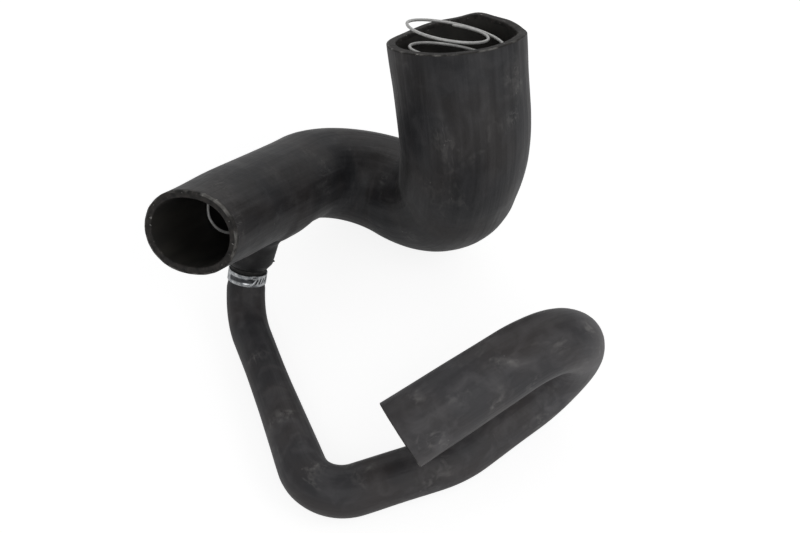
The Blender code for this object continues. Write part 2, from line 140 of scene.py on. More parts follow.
# %% Directions along a path
class Centreline:
    """Places, directions and side arrows along a path, by distance from its start."""

    def __init__(self, corners, radii):
        self.places = np.array(filled(rounded_path(corners, radii)))
        steps = np.linalg.norm(np.diff(self.places, axis=0), axis=1)
        self.distances = np.concatenate(([0.0], np.cumsum(steps)))
        self.length = self.distances[-1]
        self.directions = np.gradient(self.places, self.distances, axis=0)
        self.directions /= np.linalg.norm(self.directions, axis=1)[:, None]
        self.sides = self.carried_side()

    def carried_side(self):
        side = np.array((1.0, 0.0, 0.0))
        sides = []
        for direction in self.directions:
            side = side - direction * side.dot(direction)
            side = side / np.linalg.norm(side)
            sides.append(side)
        return np.array(sides)

    def at(self, distance):
        """Place, direction, side and the arrow square to both, also a little past an end."""
        inside = min(max(distance, 0.0), self.length)
        place, direction, side = (
            np.array([np.interp(inside, self.distances, values[:, k]) for k in range(3)])
            for values in (self.places, self.directions, self.sides))
        direction /= np.linalg.norm(direction)
        side -= direction * side.dot(direction)
        side /= np.linalg.norm(side)
        return place + direction * (distance - inside), direction, side, np.cross(direction, side)


main_line = Centreline(MAIN_CORNERS, MAIN_BEND_RADII)
print(f"main hose: {main_line.length / MM:.0f} mm along its middle")

# %% [markdown]
# A hose wall is one closed skin: up the outside, over the cut rim, back down the bore and over the
# other rim. A tube with a Solidify modifier would be quicker, but its rims would be knife edges, and
# cut rubber never has one. So we list stations round the whole loop. Each has a distance along the
# hose, a share of the way through the wall and a small inset that rounds the cut edges.

# %% Stations of a wall
OUTSIDE, RIM, BORE = 0, 1, 2
STATION_STEP = 2.2 * MM
EDGE_STEPS = 4
FACE_STEPS = 5


def rim_stations(end, inward, rounding):
    """From the outside over a cut end to the bore; inward is the way from the end into the hose."""
    arc = [math.pi / 2 * i / EDGE_STEPS for i in range(EDGE_STEPS + 1)]
    over = [(end + inward * rounding * (1 - math.sin(t)), 0.0, rounding * (1 - math.cos(t))) for t in arc]
    under = [(distance, 1.0, -inset) for distance, _, inset in reversed(over)]
    face = [(end, i / FACE_STEPS, rounding * (1 - 2 * i / FACE_STEPS)) for i in range(1, FACE_STEPS)]
    return over, face, under


def wall_stations(length, rounding):
    """The closed loop of (distance, share of the wall, inset, kind of surface)."""
    count = math.ceil(length / STATION_STEP) + 1
    along = np.linspace(rounding, length - rounding, count)[1:-1]
    over, face, under = rim_stations(length, -1, rounding)
    loop = [(s, 0.0, 0.0, OUTSIDE) for s in along]
    loop += [(*row, OUTSIDE) for row in over[:1]] + [(*row, RIM) for row in over[1:] + face + under]
    loop += [(s, 1.0, 0.0, BORE) for s in reversed(along)]
    over, face, under = rim_stations(0.0, 1, rounding)
    loop += [(*row, BORE) for row in under[-1:]]
    return loop + [(*row, RIM) for row in under[-2::-1] + face[::-1] + over[::-1]]


print("stations round the main hose's wall:", len(wall_stations(main_line.length, 1 * MM)))

# %% [markdown]
# Now each station gets a ring of points, and each pair of rings a band of faces. The wall function
# takes its radii as functions of the distance and the turn, so that one hose can be oval at its
# mouth and another waisted under a clamp. A mark stays on the outer edge of each cut, where the
# rim's material paints a pale highlight along the edge.

# %% Skin of a wall
def wall_mesh(name, line, outer, bore, sides, rounding, relief, shift=lambda distance, turn: 0.0):
    """The wall as a mesh; relief moves the outside out or in, shift moves a place along the hose."""
    turns = [FULL_TURN * i / sides for i in range(sides)]
    bm = bmesh.new()
    lip_highlight = bm.verts.layers.float.new("lip_highlight")
    rings = []
    for distance, share, inset, kind in wall_stations(line.length, rounding):
        ring = []
        for turn in turns:
            place, _, side, other = line.at(distance + shift(distance, turn))
            outside = outer(distance, turn) + relief(distance, turn)
            radius = outside + (bore(distance, turn) - outside) * share - inset
            ring.append(bm.verts.new(place + radius * (math.cos(turn) * side + math.sin(turn) * other)))
            ring[-1][lip_highlight] = 1.0 if kind == RIM and share == 0.0 else 0.0
        rings.append((ring, kind))
    for (low, low_kind), (high, high_kind) in zip(rings, rings[1:] + rings[:1]):
        for i in range(sides):
            j = (i + 1) % sides
            face = bm.faces.new((low[i], low[j], high[j], high[i]))
            face.material_index = RIM if RIM in (low_kind, high_kind) else low_kind
            face.smooth = True
    return finished_mesh(bm, name)


def finished_mesh(bm, name):
    """Turns all faces outwards and hands the mesh over."""
    bmesh.ops.recalc_face_normals(bm, faces=bm.faces)
    mesh = bpy.data.meshes.new(name)
    bm.to_mesh(mesh)
    bm.free()
    return mesh


print("a wall has an outside, rims and a bore, kinds", (OUTSIDE, RIM, BORE))

# %% [markdown]
# The reducer hose swells from 60 mm outside at its small end to 89 mm at its big end. The small
# mouth has been squeezed oval, and the big one opens a little. A straight tube could be bent and
# swollen with modifiers, but then no number would say how wide it is where. These functions give
# the radii at any distance and turn, as the hose's own drawing does.

# %% Sizes of the main hose
SMALL_END_OD = 60 * MM
SMALL_END_WALL = 5 * MM
BIG_END_OD = 88.9 * MM
BIG_END_WALL = 6 * MM
BIG_MOUTH_FLARE = 0.8 * MM
FLARE_LENGTH = 30 * MM
MAIN_TAPER = (124 * MM, 397 * MM)
OVAL_SHARE = 0.10
OVAL_LENGTH = 60 * MM


def smooth(value):
    """0 to 1 with a soft start and end."""
    value = min(max(value, 0.0), 1.0)
    return value * value * (3 - 2 * value)


def blended(distance, start, end, before, after):
    return before + (after - before) * smooth((distance - start) / (end - start))


def main_outer(distance, turn):
    body = blended(distance, *MAIN_TAPER, SMALL_END_OD / 2, BIG_END_OD / 2)
    flare = blended(distance, main_line.length - FLARE_LENGTH, main_line.length, 0.0, BIG_MOUTH_FLARE)
    oval = SMALL_END_OD / 2 * OVAL_SHARE * math.cos(2 * turn) * (1 - smooth(distance / OVAL_LENGTH))
    return body + flare + oval


def main_bore(distance, turn):
    return main_outer(distance, turn) - blended(distance, *MAIN_TAPER, SMALL_END_WALL, BIG_END_WALL)


print(f"big mouth: {2 * main_bore(main_line.length, 0) / MM:.1f} mm bore")

# %% [markdown]
# Hand-wrapped rubber is never a perfect tube. Its skin wanders by a few tenths of a millimetre, with
# faint long ridges where the curing wrap was drawn along it. Beside the boss it is fuller, where the
# mould left extra rubber, and the big mouth was trimmed by hand, so its edge has low waves. A
# Displace modifier could do this, but it would also move the rims and the bore. We move only the
# skin, by smooth noise, and leave the driving sizes as they are.

# %% Unevenness of the main hose
WANDER_AROUND = 1.4
WANDER_LENGTH = 30 * MM
RIDGES_AROUND = 7.0
RIDGE_LENGTH = 90 * MM
MAIN_SEED = 3.1
PAD_HEIGHT = 2.1 * MM
PAD_START = 82 * MM
PAD_RISE = 10 * MM
PAD_END = 134 * MM
PAD_FALL = 26 * MM
PAD_TURN = 62
PAD_SPREAD = 44
PAD_CREST = 1.4
TRIM_LENGTH = 34 * MM
TRIM_WAVES = ((240, 14, 2.9 * MM), (182, 22, -2.8 * MM), (316, 30, -2.4 * MM))
TRIM_ROUGHNESS = 0.5 * MM
TRIM_SEED = 4.2
TRIM_NICKS_AROUND = 1.6
MAIN_WANDER = 0.35 * MM
MAIN_RIDGES = 0.22 * MM
MAIN_SIDES = 96
MAIN_RIM_ROUNDING = 0.9 * MM


def skin_relief(seed, wander, ridge, distance, turn):
    """How far the skin stands proud: slow wander in all directions plus faint ridges along it."""
    around = Vector((math.cos(turn), math.sin(turn), 0.0))
    slow = noise.noise(around * WANDER_AROUND + Vector((seed, 0.0, distance / WANDER_LENGTH)))
    ridges = noise.noise(around * RIDGES_AROUND + Vector((0.0, seed, distance / RIDGE_LENGTH)))
    return wander * slow + ridge * ridges


def main_relief(distance, turn):
    """The wandering skin and the fuller side of the tube beside the boss."""
    along = smooth((distance - PAD_START) / PAD_RISE) * smooth((PAD_END - distance) / PAD_FALL)
    around = smooth(PAD_CREST - abs(math.degrees(turn) - PAD_TURN) / PAD_SPREAD)
    wandering = skin_relief(MAIN_SEED, MAIN_WANDER, MAIN_RIDGES, distance, turn)
    return wandering + PAD_HEIGHT * along * around


def hand_trim(distance, turn):
    """Waves of (turn, half width, height) run round the edge of the big mouth."""
    near = smooth((distance - (main_line.length - TRIM_LENGTH)) / TRIM_LENGTH)
    waves = sum(height * math.exp(-((math.degrees(turn) - middle) / spread) ** 2)
                for middle, spread, height in TRIM_WAVES)
    around = Vector((math.cos(turn), math.sin(turn), TRIM_SEED))
    rough = TRIM_ROUGHNESS * noise.noise(around * TRIM_NICKS_AROUND)
    return near * (waves + rough)


main_mesh = wall_mesh("main_hose_skin", main_line, main_outer, main_bore, MAIN_SIDES,
                      MAIN_RIM_ROUNDING, main_relief, hand_trim)
print(f"main hose wall: {len(main_mesh.polygons)} faces")

# %% [markdown]
# The boss is moulded onto the small tube, square to it, and the branch hose starts from it. Much on
# it and on the clamp is round about the same axis, so we first set up a frame there: a matrix whose Z
# runs out along the boss. Whatever is drawn about Z can then be put in place by that matrix.

# %% Where the boss stands
BOSS_ALONG_TUBE = 87.7 * MM
BOSS_DIRECTION = Vector((-0.168, -0.446, -0.879))
BOSS_HEIGHT = 17 * MM


def axis_frame(origin, direction, towards):
    """A matrix whose Z runs along a direction and whose X points as near as it can to another."""
    z_axis = Vector(direction).normalized()
    x_axis = (Vector(towards) - z_axis * z_axis.dot(Vector(towards))).normalized()
    turned = Matrix((x_axis, z_axis.cross(x_axis), z_axis)).transposed().to_4x4()
    return Matrix.Translation(origin) @ turned


tube_place, tube_direction, _, _ = main_line.at(BOSS_ALONG_TUBE)
tube_direction = Vector(tube_direction)
boss_axis = (BOSS_DIRECTION - tube_direction * BOSS_DIRECTION.dot(tube_direction)).normalized()
boss_frame = axis_frame(tube_place, boss_axis, tube_direction)
boss_tip = SMALL_END_OD / 2 + BOSS_HEIGHT
print(f"boss tip {boss_tip / MM:.0f} mm from the tube's middle")

# %% [markdown]
# A turned part is a profile of (radius, height) points swung round its axis, as on a lathe. The
# Screw modifier does that too, but the foot of the boss has to follow the tube's round side, so we
# make rings that can be bent, and skin them with one function. The spring and the clamp are made of
# rings as well. The first solid is the plainest: the drill for the boss's bore.

# %% Solids from rings
GAP = 0.3 * MM
PIPE_OD = 17.6 * MM
BOSS_SIDES = 96
DRILL_START = SMALL_END_OD / 2 - 12 * MM
DRILL_END = SMALL_END_OD / 2 + 6 * MM


def ring_solid(rings, closed=False, kinds=None):
    """A mesh through equal rings of points, end to end, either capped or closed into a loop."""
    bm = bmesh.new()
    rows = [[bm.verts.new(point) for point in ring] for ring in rings]
    pairs = list(zip(rows, rows[1:])) + ([(rows[-1], rows[0])] if closed else [])
    for step, (low, high) in enumerate(pairs):
        for i in range(len(low)):
            j = (i + 1) % len(low)
            face = bm.faces.new((low[i], low[j], high[j], high[i]))
            face.material_index = kinds[step] if kinds else 0
    if not closed:
        bm.faces.new(rows[0][::-1])
        bm.faces.new(rows[-1])
    return finished_mesh(bm, "rings")


def turned_rings(profile, sides, height_at=lambda radius, height, turn: height):
    """Rings about Z from (radius, height) points; height_at may bend a ring to meet a round side."""
    turns = [FULL_TURN * i / sides for i in range(sides)]
    return [[Vector((r * math.cos(t), r * math.sin(t), height_at(r, h, t))) for t in turns]
            for r, h in profile]


bore = PIPE_OD / 2 + GAP
drill_mesh = ring_solid(turned_rings([(bore, DRILL_START), (bore, DRILL_END)], BOSS_SIDES), kinds=[BORE])
print(f"drill for the bore: {2 * bore / MM:.1f} mm")

# %% [markdown]
# The boss has a flared foot, sunk a little into the tube so that the two overlap, a nearly straight
# body and a nose that fits the branch hose. A few tenths of a millimetre are taken off its edges,
# because a mould's corners are never sharp. A bevel could do that too, but it would also catch the
# foot, which has to stay as it is to be joined.

# %% Turn the boss
BOSS_TIP_OD = 31.4 * MM
BOSS_ROOT_OD = 34.6 * MM
BOSS_FOOT_FLARE = 2.0 * MM
BOSS_FOOT_SUNK = 4.2 * MM
BOSS_FOOT_HEIGHT = 5.4 * MM
BOSS_FOOT_STEPS = 6
BOSS_FOOT_DEPTH = 2.5 * MM
BOSS_NOSE_LENGTH = 3.7 * MM
HOSE_CLAMP_END_OD = 25.7 * MM


def on_tube(radius, height, turn):
    """Keeps a ring's height, but sinks a ring at height 0 into the tube's round side."""
    if height > 0.0:
        return height
    return math.sqrt((SMALL_END_OD / 2 - BOSS_FOOT_DEPTH) ** 2 - (radius * math.sin(turn)) ** 2)


tip = BOSS_TIP_OD / 2
foot = BOSS_ROOT_OD / 2
nose = HOSE_CLAMP_END_OD / 2
shoulder = boss_tip - BOSS_NOSE_LENGTH
boss_profile = [(bore, 0.0), (foot + BOSS_FOOT_FLARE, 0.0)]
for i in range(BOSS_FOOT_STEPS + 1):
    share = i / BOSS_FOOT_STEPS
    height = SMALL_END_OD / 2 - BOSS_FOOT_SUNK + BOSS_FOOT_HEIGHT * share
    boss_profile.append((foot + BOSS_FOOT_FLARE * (1 - share) ** 2, height))
boss_profile += [
    (tip, shoulder - 0.4 * MM), (tip - 0.25 * MM, shoulder + 0.2 * MM),
    (nose + 0.4 * MM, boss_tip - 0.5 * MM), (nose, boss_tip),
    (bore + 0.5 * MM, boss_tip), (bore, boss_tip - 0.5 * MM),
]
boss_kinds = [RIM] + [OUTSIDE] * (len(boss_profile) - 4) + [RIM, RIM, BORE]
boss_mesh = ring_solid(turned_rings(boss_profile, BOSS_SIDES, on_tube), True, boss_kinds)
print(f"boss: {len(boss_mesh.polygons)} faces")

# %% [markdown]
# Where the two halves of the mould met, a nub of flash is left on the boss's shoulder. A Boolean
# union joins it on. Booleans can stay on an object as modifiers, but then their hidden tools stay in
# the scene too, so we work each one into the mesh at once and remove its tool.

# %% A nub of flash on the boss
FLASH_WIDTH = 1.3 * MM
FLASH_ROOT = 1.0 * MM
FLASH_HEIGHT = 1.0 * MM
FLASH_SHOULDER = 1.6 * MM
FLASH_BELOW = 1.2 * MM
FLASH_SIDES = 10


def placed(name, mesh, matrix=None):
    """Links a mesh as an object, with its place worked into the mesh itself."""
    if matrix is not None:
        mesh.transform(matrix)
    mesh.name = name
    obj = bpy.data.objects.new(name, mesh)
    bpy.context.collection.objects.link(obj)
    return obj


def apply_modifiers(obj):
    graph = bpy.context.evaluated_depsgraph_get()
    graph.update()
    shaped = bpy.data.meshes.new_from_object(obj.evaluated_get(graph))
    obj.modifiers.clear()
    obj.data = shaped


def cut_or_join(obj, operation, tool):
    """Runs one exact Boolean, keeps its result in the object's mesh and removes the tool."""
    modifier = obj.modifiers.new(operation, "BOOLEAN")
    modifier.operation = operation
    modifier.solver = "EXACT"
    modifier.object = tool
    apply_modifiers(obj)
    bpy.data.objects.remove(tool)


boss = placed("boss", boss_mesh, boss_frame)
flash_side = (Vector((1, 0, 0)) - boss_axis * boss_axis.x).normalized()
flash_offset = boss_axis * (shoulder - FLASH_BELOW) + flash_side * (tip - FLASH_ROOT)
flash_frame = axis_frame(tube_place + np.array(flash_offset), flash_side, boss_axis)
flash_profile = [(FLASH_WIDTH / 2, 0.0), (FLASH_WIDTH / 2, FLASH_SHOULDER),
                 (FLASH_WIDTH / 4, FLASH_ROOT + FLASH_HEIGHT)]
flash_mesh = ring_solid(turned_rings(flash_profile, FLASH_SIDES))
cut_or_join(boss, "UNION", placed("flash", flash_mesh, flash_frame))
print(f"boss with its flash: {len(boss.data.polygons)} faces")

# %% [markdown]
# Boss and tube are one moulding. Two meshes pushed into each other would look joined, but would
# leave walls inside the rubber. So a union makes them one skin, and the drill then opens the bore
# from the boss into the tube.

# %% Join the boss and drill it
main_hose = placed("reducer_hose", main_mesh)
cut_or_join(main_hose, "UNION", boss)
cut_or_join(main_hose, "DIFFERENCE", placed("drill", drill_mesh, boss_frame))
print(f"reducer hose with its boss: {len(main_hose.data.polygons)} faces")

# %% [markdown]
# The branch hose starts on the boss's pipe at 26 mm, runs down to an elbow at 33 mm, along the floor
# and back over itself in a U-bend, and ends at 46 mm. It is made the same way as the main hose: a
# path first, and then its radii by distance.

# %% Path of the branch hose
HOSE_FIRST_CORNER = 33.4 * MM
HOSE_CORNERS = (
    (-0.0364, -0.1421, 0.0164),
    (0.0506, -0.1085, 0.0164),
    (0.1274, -0.0427, 0.0195),
    (0.1230, -0.0704, 0.1057),
    (0.0153, -0.1242, 0.0616),
)
HOSE_BEND_RADII = (0.0354, 0.0263, 0.0803, 0.0336, 0.0403)

hose_start = Vector(tube_place) + boss_axis * (boss_tip + GAP)
hose_corner = hose_start + boss_axis * HOSE_FIRST_CORNER
hose_line = Centreline((hose_start, hose_corner) + HOSE_CORNERS, HOSE_BEND_RADII)
print(f"branch hose: {hose_line.length / MM:.0f} mm along its middle")

# %% [markdown]
# The clamp pinches soft rubber, so the hose is waisted under the band. A soft-body press could work
# that out, but the waist is under a millimetre deep, so a smooth dip in the radius is enough. Where
# the band, the boss and the pipe fit the hose, its skin doesn't wander, or they would cut into it.

# %% Wall of the branch hose
HOSE_ELBOW_OD = 32.8 * MM
HOSE_RETURN_OD = 41.2 * MM
HOSE_FREE_END_OD = 45.8 * MM
HOSE_WALL = 4.5 * MM
FIRST_TAPER = (79 * MM, 203 * MM)
SECOND_TAPER = (339 * MM, 449 * MM)
CLAMP_PLACE = 7.2 * MM
CLAMP_GRIP = 0.8 * MM
BAND_WIDTH = 8 * MM
GRIP_BESIDE_BAND = 1.8 * MM
GRIP_EASE = 1.5 * MM
PLAIN_START = 14 * MM
HOSE_SEED = 8.6
HOSE_WANDER = 0.30 * MM
HOSE_RIDGES = 0.15 * MM
HOSE_SIDES = 80
HOSE_RIM_ROUNDING = 0.7 * MM


def hose_plain(distance):
    first = blended(distance, *FIRST_TAPER, HOSE_CLAMP_END_OD / 2, HOSE_ELBOW_OD / 2)
    second = blended(distance, *SECOND_TAPER, 0.0, (HOSE_RETURN_OD - HOSE_ELBOW_OD) / 2)
    last = (distance - SECOND_TAPER[1]) / (hose_line.length - SECOND_TAPER[1])
    return first + second + (HOSE_FREE_END_OD - HOSE_RETURN_OD) / 2 * min(max(last, 0.0), 1.0)


def hose_outer(distance, turn):
    from_band = abs(distance - CLAMP_PLACE) - BAND_WIDTH / 2 - GRIP_BESIDE_BAND
    return hose_plain(distance) - CLAMP_GRIP * (1 - smooth(from_band / GRIP_EASE))


def hose_bore(distance, turn):
    wall = blended(distance, *FIRST_TAPER, HOSE_CLAMP_END_OD / 2 - PIPE_OD / 2 - GAP, HOSE_WALL)
    return hose_plain(distance) - wall


def hose_relief(distance, turn):
    free = smooth((distance - PLAIN_START) / PLAIN_START)
    return skin_relief(HOSE_SEED, HOSE_WANDER, HOSE_RIDGES, distance, turn) * free


hose_mesh = wall_mesh("branch_hose_skin", hose_line, hose_outer, hose_bore, HOSE_SIDES,
                      HOSE_RIM_ROUNDING, hose_relief)
branch_hose = placed("branch_hose_skin", hose_mesh)
print(f"branch hose wall: {len(hose_mesh.polygons)} faces")

# %% [markdown]
# A loose wire spring stands inside the main hose and keeps suction from flattening it. It could be a
# curve with a round bevel, but a ready-made helix is straight, and this one follows a bent and
# tapering bore. So we go down the centreline in small steps, turn a little at each, and set the wire
# just inside the bore. At the big mouth the coil leans and has sprung out a little.

# %% Room for the coil
WIRE = 2.0 * MM
COIL_STEPS = 40
SPRING_START = 60 * MM
SPRING_CLEARANCE = 0.7 * MM
SPRING_TOP_CLEARANCE = 7.6 * MM
CLEARANCE_GROWS_FROM = 290 * MM
SPRING_PITCH = 19.08 * MM
SPRING_TOP_PITCH = 15.0 * MM
TOP_PITCH_RANGE = (main_line.length - 60 * MM, main_line.length - 20 * MM)
LONG_PITCH = 33 * MM
LONG_PITCH_RANGE = (SPRING_START + 21.6 * MM, SPRING_START + 36 * MM)


def coil_radius(distance):
    clearance = blended(distance, CLEARANCE_GROWS_FROM, main_line.length,
                        SPRING_CLEARANCE, SPRING_TOP_CLEARANCE)
    return main_bore(min(distance, main_line.length), math.pi / 4) - clearance - WIRE / 2


def coil_pitch(distance):
    """How far the wire goes down in a turn: less near the big mouth, more near the small one."""
    pitch = blended(distance, *TOP_PITCH_RANGE, SPRING_PITCH, SPRING_TOP_PITCH)
    return pitch + blended(distance, *LONG_PITCH_RANGE, LONG_PITCH - SPRING_PITCH, 0.0)


def squared(side, direction):
    """The part of a side arrow that lies square to a direction, at length one."""
    side = side - direction * side.dot(direction)
    return side / np.linalg.norm(side)


print(f"coil: {2 * coil_radius(200 * MM) / MM:.0f} mm across in the bend")

# %% [markdown]
# The spring ends in a smaller ring at each mouth, so that no wire end digs into the rubber. Each
# ring touches the coil where it leaves it, so the wire has no kink there. It could be a separate
# piece, but the real one is the same wire, so we only make its points here.

# %% Rings at the two mouths
TOP_LEAN = math.tan(math.radians(14))
TOP_PHASE = math.radians(180)
TOP_RING_RADIUS = 25.4 * MM
TOP_RING_TURN = math.radians(262)
TOP_RING_DROP = 3.4 * MM
START_RING_RADIUS = 14.2 * MM
START_RING_TURN = math.radians(250)
START_RING_DROP = WIRE * 0.5


def ring_steps(turn):
    return round(turn / FULL_TURN * COIL_STEPS)


def top_ring(place, direction, side):
    other = np.cross(direction, side)
    centre = TOP_RING_RADIUS - coil_radius(main_line.length)
    count = ring_steps(TOP_RING_TURN)
    points = []
    for i in range(count, 0, -1):
        phase = TOP_PHASE + TOP_RING_TURN * i / count
        x = centre + TOP_RING_RADIUS * math.cos(phase)
        y = TOP_RING_RADIUS * math.sin(phase)
        drop = TOP_RING_DROP * i / count + TOP_LEAN * x
        points.append(place + x * side + y * other - direction * drop)
    return points


def start_ring(place, direction, last, radius):
    towards = squared(last - place, direction)
    turning = np.cross(direction, towards)
    centre = radius - START_RING_RADIUS
    count = ring_steps(START_RING_TURN)
    points = []
    for i in range(1, count + 1):
        turn = START_RING_TURN * i / count
        x = centre + START_RING_RADIUS * math.cos(turn)
        y = -START_RING_RADIUS * math.sin(turn)
        points.append(place + x * towards + y * turning - direction * START_RING_DROP * i / count)
    return points


print("points in the rings:", ring_steps(TOP_RING_TURN), "and", ring_steps(START_RING_TURN))

# %% [markdown]
# The path of the wire is made in the order in which it was wound: the ring at the big mouth, the
# coil, and the ring at the small mouth. In the last stretch before the big mouth the coil leans.

# %% Path of the wire
TOP_RISE = 3.3 * MM
LEAN_LENGTH = 85 * MM


def spring_path():
    distance = main_line.length + TOP_RISE
    phase = TOP_PHASE
    place, direction, _, _ = main_line.at(distance)
    side = squared(np.array((1.0, 0.0, 0.0)), direction)
    points = top_ring(place, direction, side)
    while distance > SPRING_START:
        place, direction, _, _ = main_line.at(distance)
        side = squared(side, direction)
        radius = coil_radius(distance)
        lean = TOP_LEAN * smooth(1 - (main_line.length - distance) / LEAN_LENGTH)
        spoke = math.cos(phase) * side + math.sin(phase) * np.cross(direction, side)
        points.append(place + radius * spoke - direction * lean * radius * math.cos(phase))
        distance -= coil_pitch(distance) / COIL_STEPS
        phase -= FULL_TURN / COIL_STEPS
    return points + start_ring(place, direction, points[-1], radius)


wire_path = [Vector(point) for point in spring_path()]
print(f"wire path: {len(wire_path)} points")

# %% [markdown]
# The wire itself is a small ring of points carried along that path, as the skin of the hose was. Its
# two ends are a little smaller, so that they look clipped and not sawn.

# %% Sweep the wire
WIRE_SIDES = 10
CLIPPED_END = 0.75


def swept_wire(points):
    side = Vector((0.3, 0.2, 1.0))
    last = len(points) - 1
    rings = []
    for i, point in enumerate(points):
        direction = (points[min(i + 1, last)] - points[max(i - 1, 0)]).normalized()
        side = (side - direction * side.dot(direction)).normalized()
        other = direction.cross(side)
        size = WIRE / 2 * (CLIPPED_END if i in (0, last) else 1.0)
        turns = [FULL_TURN * k / WIRE_SIDES for k in range(WIRE_SIDES)]
        rings.append([point + size * (math.cos(t) * side + math.sin(t) * other) for t in turns])
    return ring_solid(rings)


support_spring = placed("wire_spring", swept_wire(wire_path))
print(f"spring: {len(support_spring.data.polygons)} faces")

# %% [markdown]
# The worm-drive clamp is one strip of zinc-plated steel wrapped round the hose, with its slotted
# tail lapped over its start under the screw. A closed hoop would be simpler, but the step of the lap
# shows, so the radius climbs by one thickness over the last part of the turn.

# %% Place of the clamp's strip
BAND_THICKNESS = 0.6 * MM
BAND_START = math.radians(285)
BAND_TOTAL = FULL_TURN + math.radians(62)
LAP_START = FULL_TURN - math.radians(14)
LAP_EASE = math.radians(30)
LAP_RISE = BAND_THICKNESS + GAP

clamp_frame = axis_frame(hose_start + boss_axis * CLAMP_PLACE, boss_axis, (1, 0, 0))
band_far_edge = CLAMP_PLACE + BAND_WIDTH / 2
drift = (Vector(hose_line.at(band_far_edge)[0]) - hose_start - boss_axis * band_far_edge).length
band_inner = HOSE_CLAMP_END_OD / 2 - CLAMP_GRIP + GAP + drift


def band_radius(angle):
    """Inner radius of the strip: it climbs over its own start before the housing."""
    return band_inner + blended(angle, LAP_START - LAP_EASE, LAP_START, 0.0, LAP_RISE)


print(f"strip: {2 * band_inner / MM:.1f} mm across inside")

# %% [markdown]
# In front the strip has a pressed groove along its middle that ends in a slant. Bump in the material
# would not change its outline or catch the light as a real hollow does. We make the strip as rings
# across it, so that the lap, the rounded edges and the groove are all part of its shape.

# %% The strip with its groove
GROOVE_START = math.radians(63.5)
GROOVE_END = math.radians(147)
GROOVE_HALF_WIDTH = 1.5 * MM
GROOVE_DEPTH = 0.42 * MM
GROOVE_SLANT = 0.08
GROOVE_END_EASE = 0.05
GROOVE_SIDE_EASE = 0.5 * MM
BAND_STEPS = 420
ACROSS_STEPS = 16


def groove_depth(turn, height):
    """How deep the pressed groove is at a turn round the hose and a height across the band."""
    turn = turn % FULL_TURN
    along = min(turn - GROOVE_START - GROOVE_SLANT * height / GROOVE_HALF_WIDTH, GROOVE_END - turn)
    across = GROOVE_HALF_WIDTH - abs(height)
    return GROOVE_DEPTH * smooth(along / GROOVE_END_EASE + 0.5) * smooth(across / GROOVE_SIDE_EASE + 0.5)


def band_mesh():
    half = BAND_WIDTH / 2
    edge = BAND_THICKNESS / 2
    across = [half * (2 * i / ACROSS_STEPS - 1) * (1 - edge / half) for i in range(ACROSS_STEPS + 1)]
    rings = []
    for step in range(BAND_STEPS + 1):
        angle = BAND_TOTAL * step / BAND_STEPS
        turn = BAND_START - angle
        spoke = Vector((math.cos(turn), math.sin(turn), 0.0))
        inner = band_radius(angle)
        lower = [(inner, z) for z in across]
        upper = [(inner + BAND_THICKNESS - groove_depth(turn, z), z) for z in reversed(across)]
        outline = lower + [(inner + edge, half)] + upper + [(inner + edge, -half)]
        rings.append([spoke * r + Vector((0, 0, z)) for r, z in outline])
    return ring_solid(rings)


clamp_band = placed("slotted_band", band_mesh(), clamp_frame)
print(f"strip: {len(clamp_band.data.polygons)} faces")

# %% [markdown]
# The slots that the screw grips are punched through the tail, aslant like the worm's thread. A
# picture of slots would be lighter, but light has to fall through real ones. We cut them with one
# Boolean, and mark the pressed groove, which the strip's material darkens as painted shade.

# %% Punch the slots
SLOT_COUNT = 17
SLOT_PITCH = math.radians(11.2)
SLOT_LENGTH = 4.2 * MM
SLOT_WIDTH = 1.15 * MM
SLOT_SLANT = math.radians(-24)
SLOT_END_STEPS = 6
LAST_SLOT = BAND_TOTAL - math.radians(14)


def slot_cutter(turn, radius):
    """A slanted slot with round ends, just thicker than the strip."""
    flat = SLOT_LENGTH / 2 - SLOT_WIDTH / 2
    turns = [math.pi * i / SLOT_END_STEPS for i in range(SLOT_END_STEPS + 1)]
    end = [(math.cos(t) * SLOT_WIDTH / 2, flat + math.sin(t) * SLOT_WIDTH / 2) for t in turns]
    outline = end + [(-y, -z) for y, z in end]
    depth = (BAND_THICKNESS + GAP) / 2
    mesh = ring_solid([[Vector((x, y, z)) for y, z in outline] for x in (-depth, depth)])
    slant = Matrix.Rotation(SLOT_SLANT, 4, "X")
    mesh.transform(Matrix.Rotation(turn, 4, "Z") @ Matrix.Translation((radius, 0, 0)) @ slant)
    return mesh


all_slots = bmesh.new()
for i in range(SLOT_COUNT):
    angle = LAST_SLOT - i * SLOT_PITCH
    all_slots.from_mesh(slot_cutter(BAND_START - angle, band_radius(angle) + BAND_THICKNESS / 2))
slots_mesh = bpy.data.meshes.new("slots")
all_slots.to_mesh(slots_mesh)
all_slots.free()
cut_or_join(clamp_band, "DIFFERENCE", placed("slots", slots_mesh, clamp_frame))

into_clamp = clamp_frame.inverted()
pressed = clamp_band.data.attributes.new("pressed", "FLOAT", "POINT")
for vertex, mark in zip(clamp_band.data.vertices, pressed.data):
    x, y, z = into_clamp @ vertex.co
    mark.value = groove_depth(math.atan2(y, x), z) / GROOVE_DEPTH
print(f"band: {len(clamp_band.data.polygons)} faces, {SLOT_COUNT} slots")

# %% [markdown]
# The screw sits in a pressed saddle on the far side of the clamp. Its outline is an arch over the
# screw with two cheeks beside the band. We pull that outline along the screw, and two Booleans
# hollow it for the screw and for the band. A small bevel rounds the edges as pressing does.

# %% The clamp's saddle
HOUSING_LENGTH = 12.5 * MM
HOUSING_WALL = 1.0 * MM
HOUSING_TURN = BAND_START - math.radians(20)
THREAD_OD = 6.6 * MM
ARCH_STEPS = 24
TUNNEL_SIDES = 48
CHANNEL_SIDES = 120
EDGE_BEVEL = 0.18 * MM

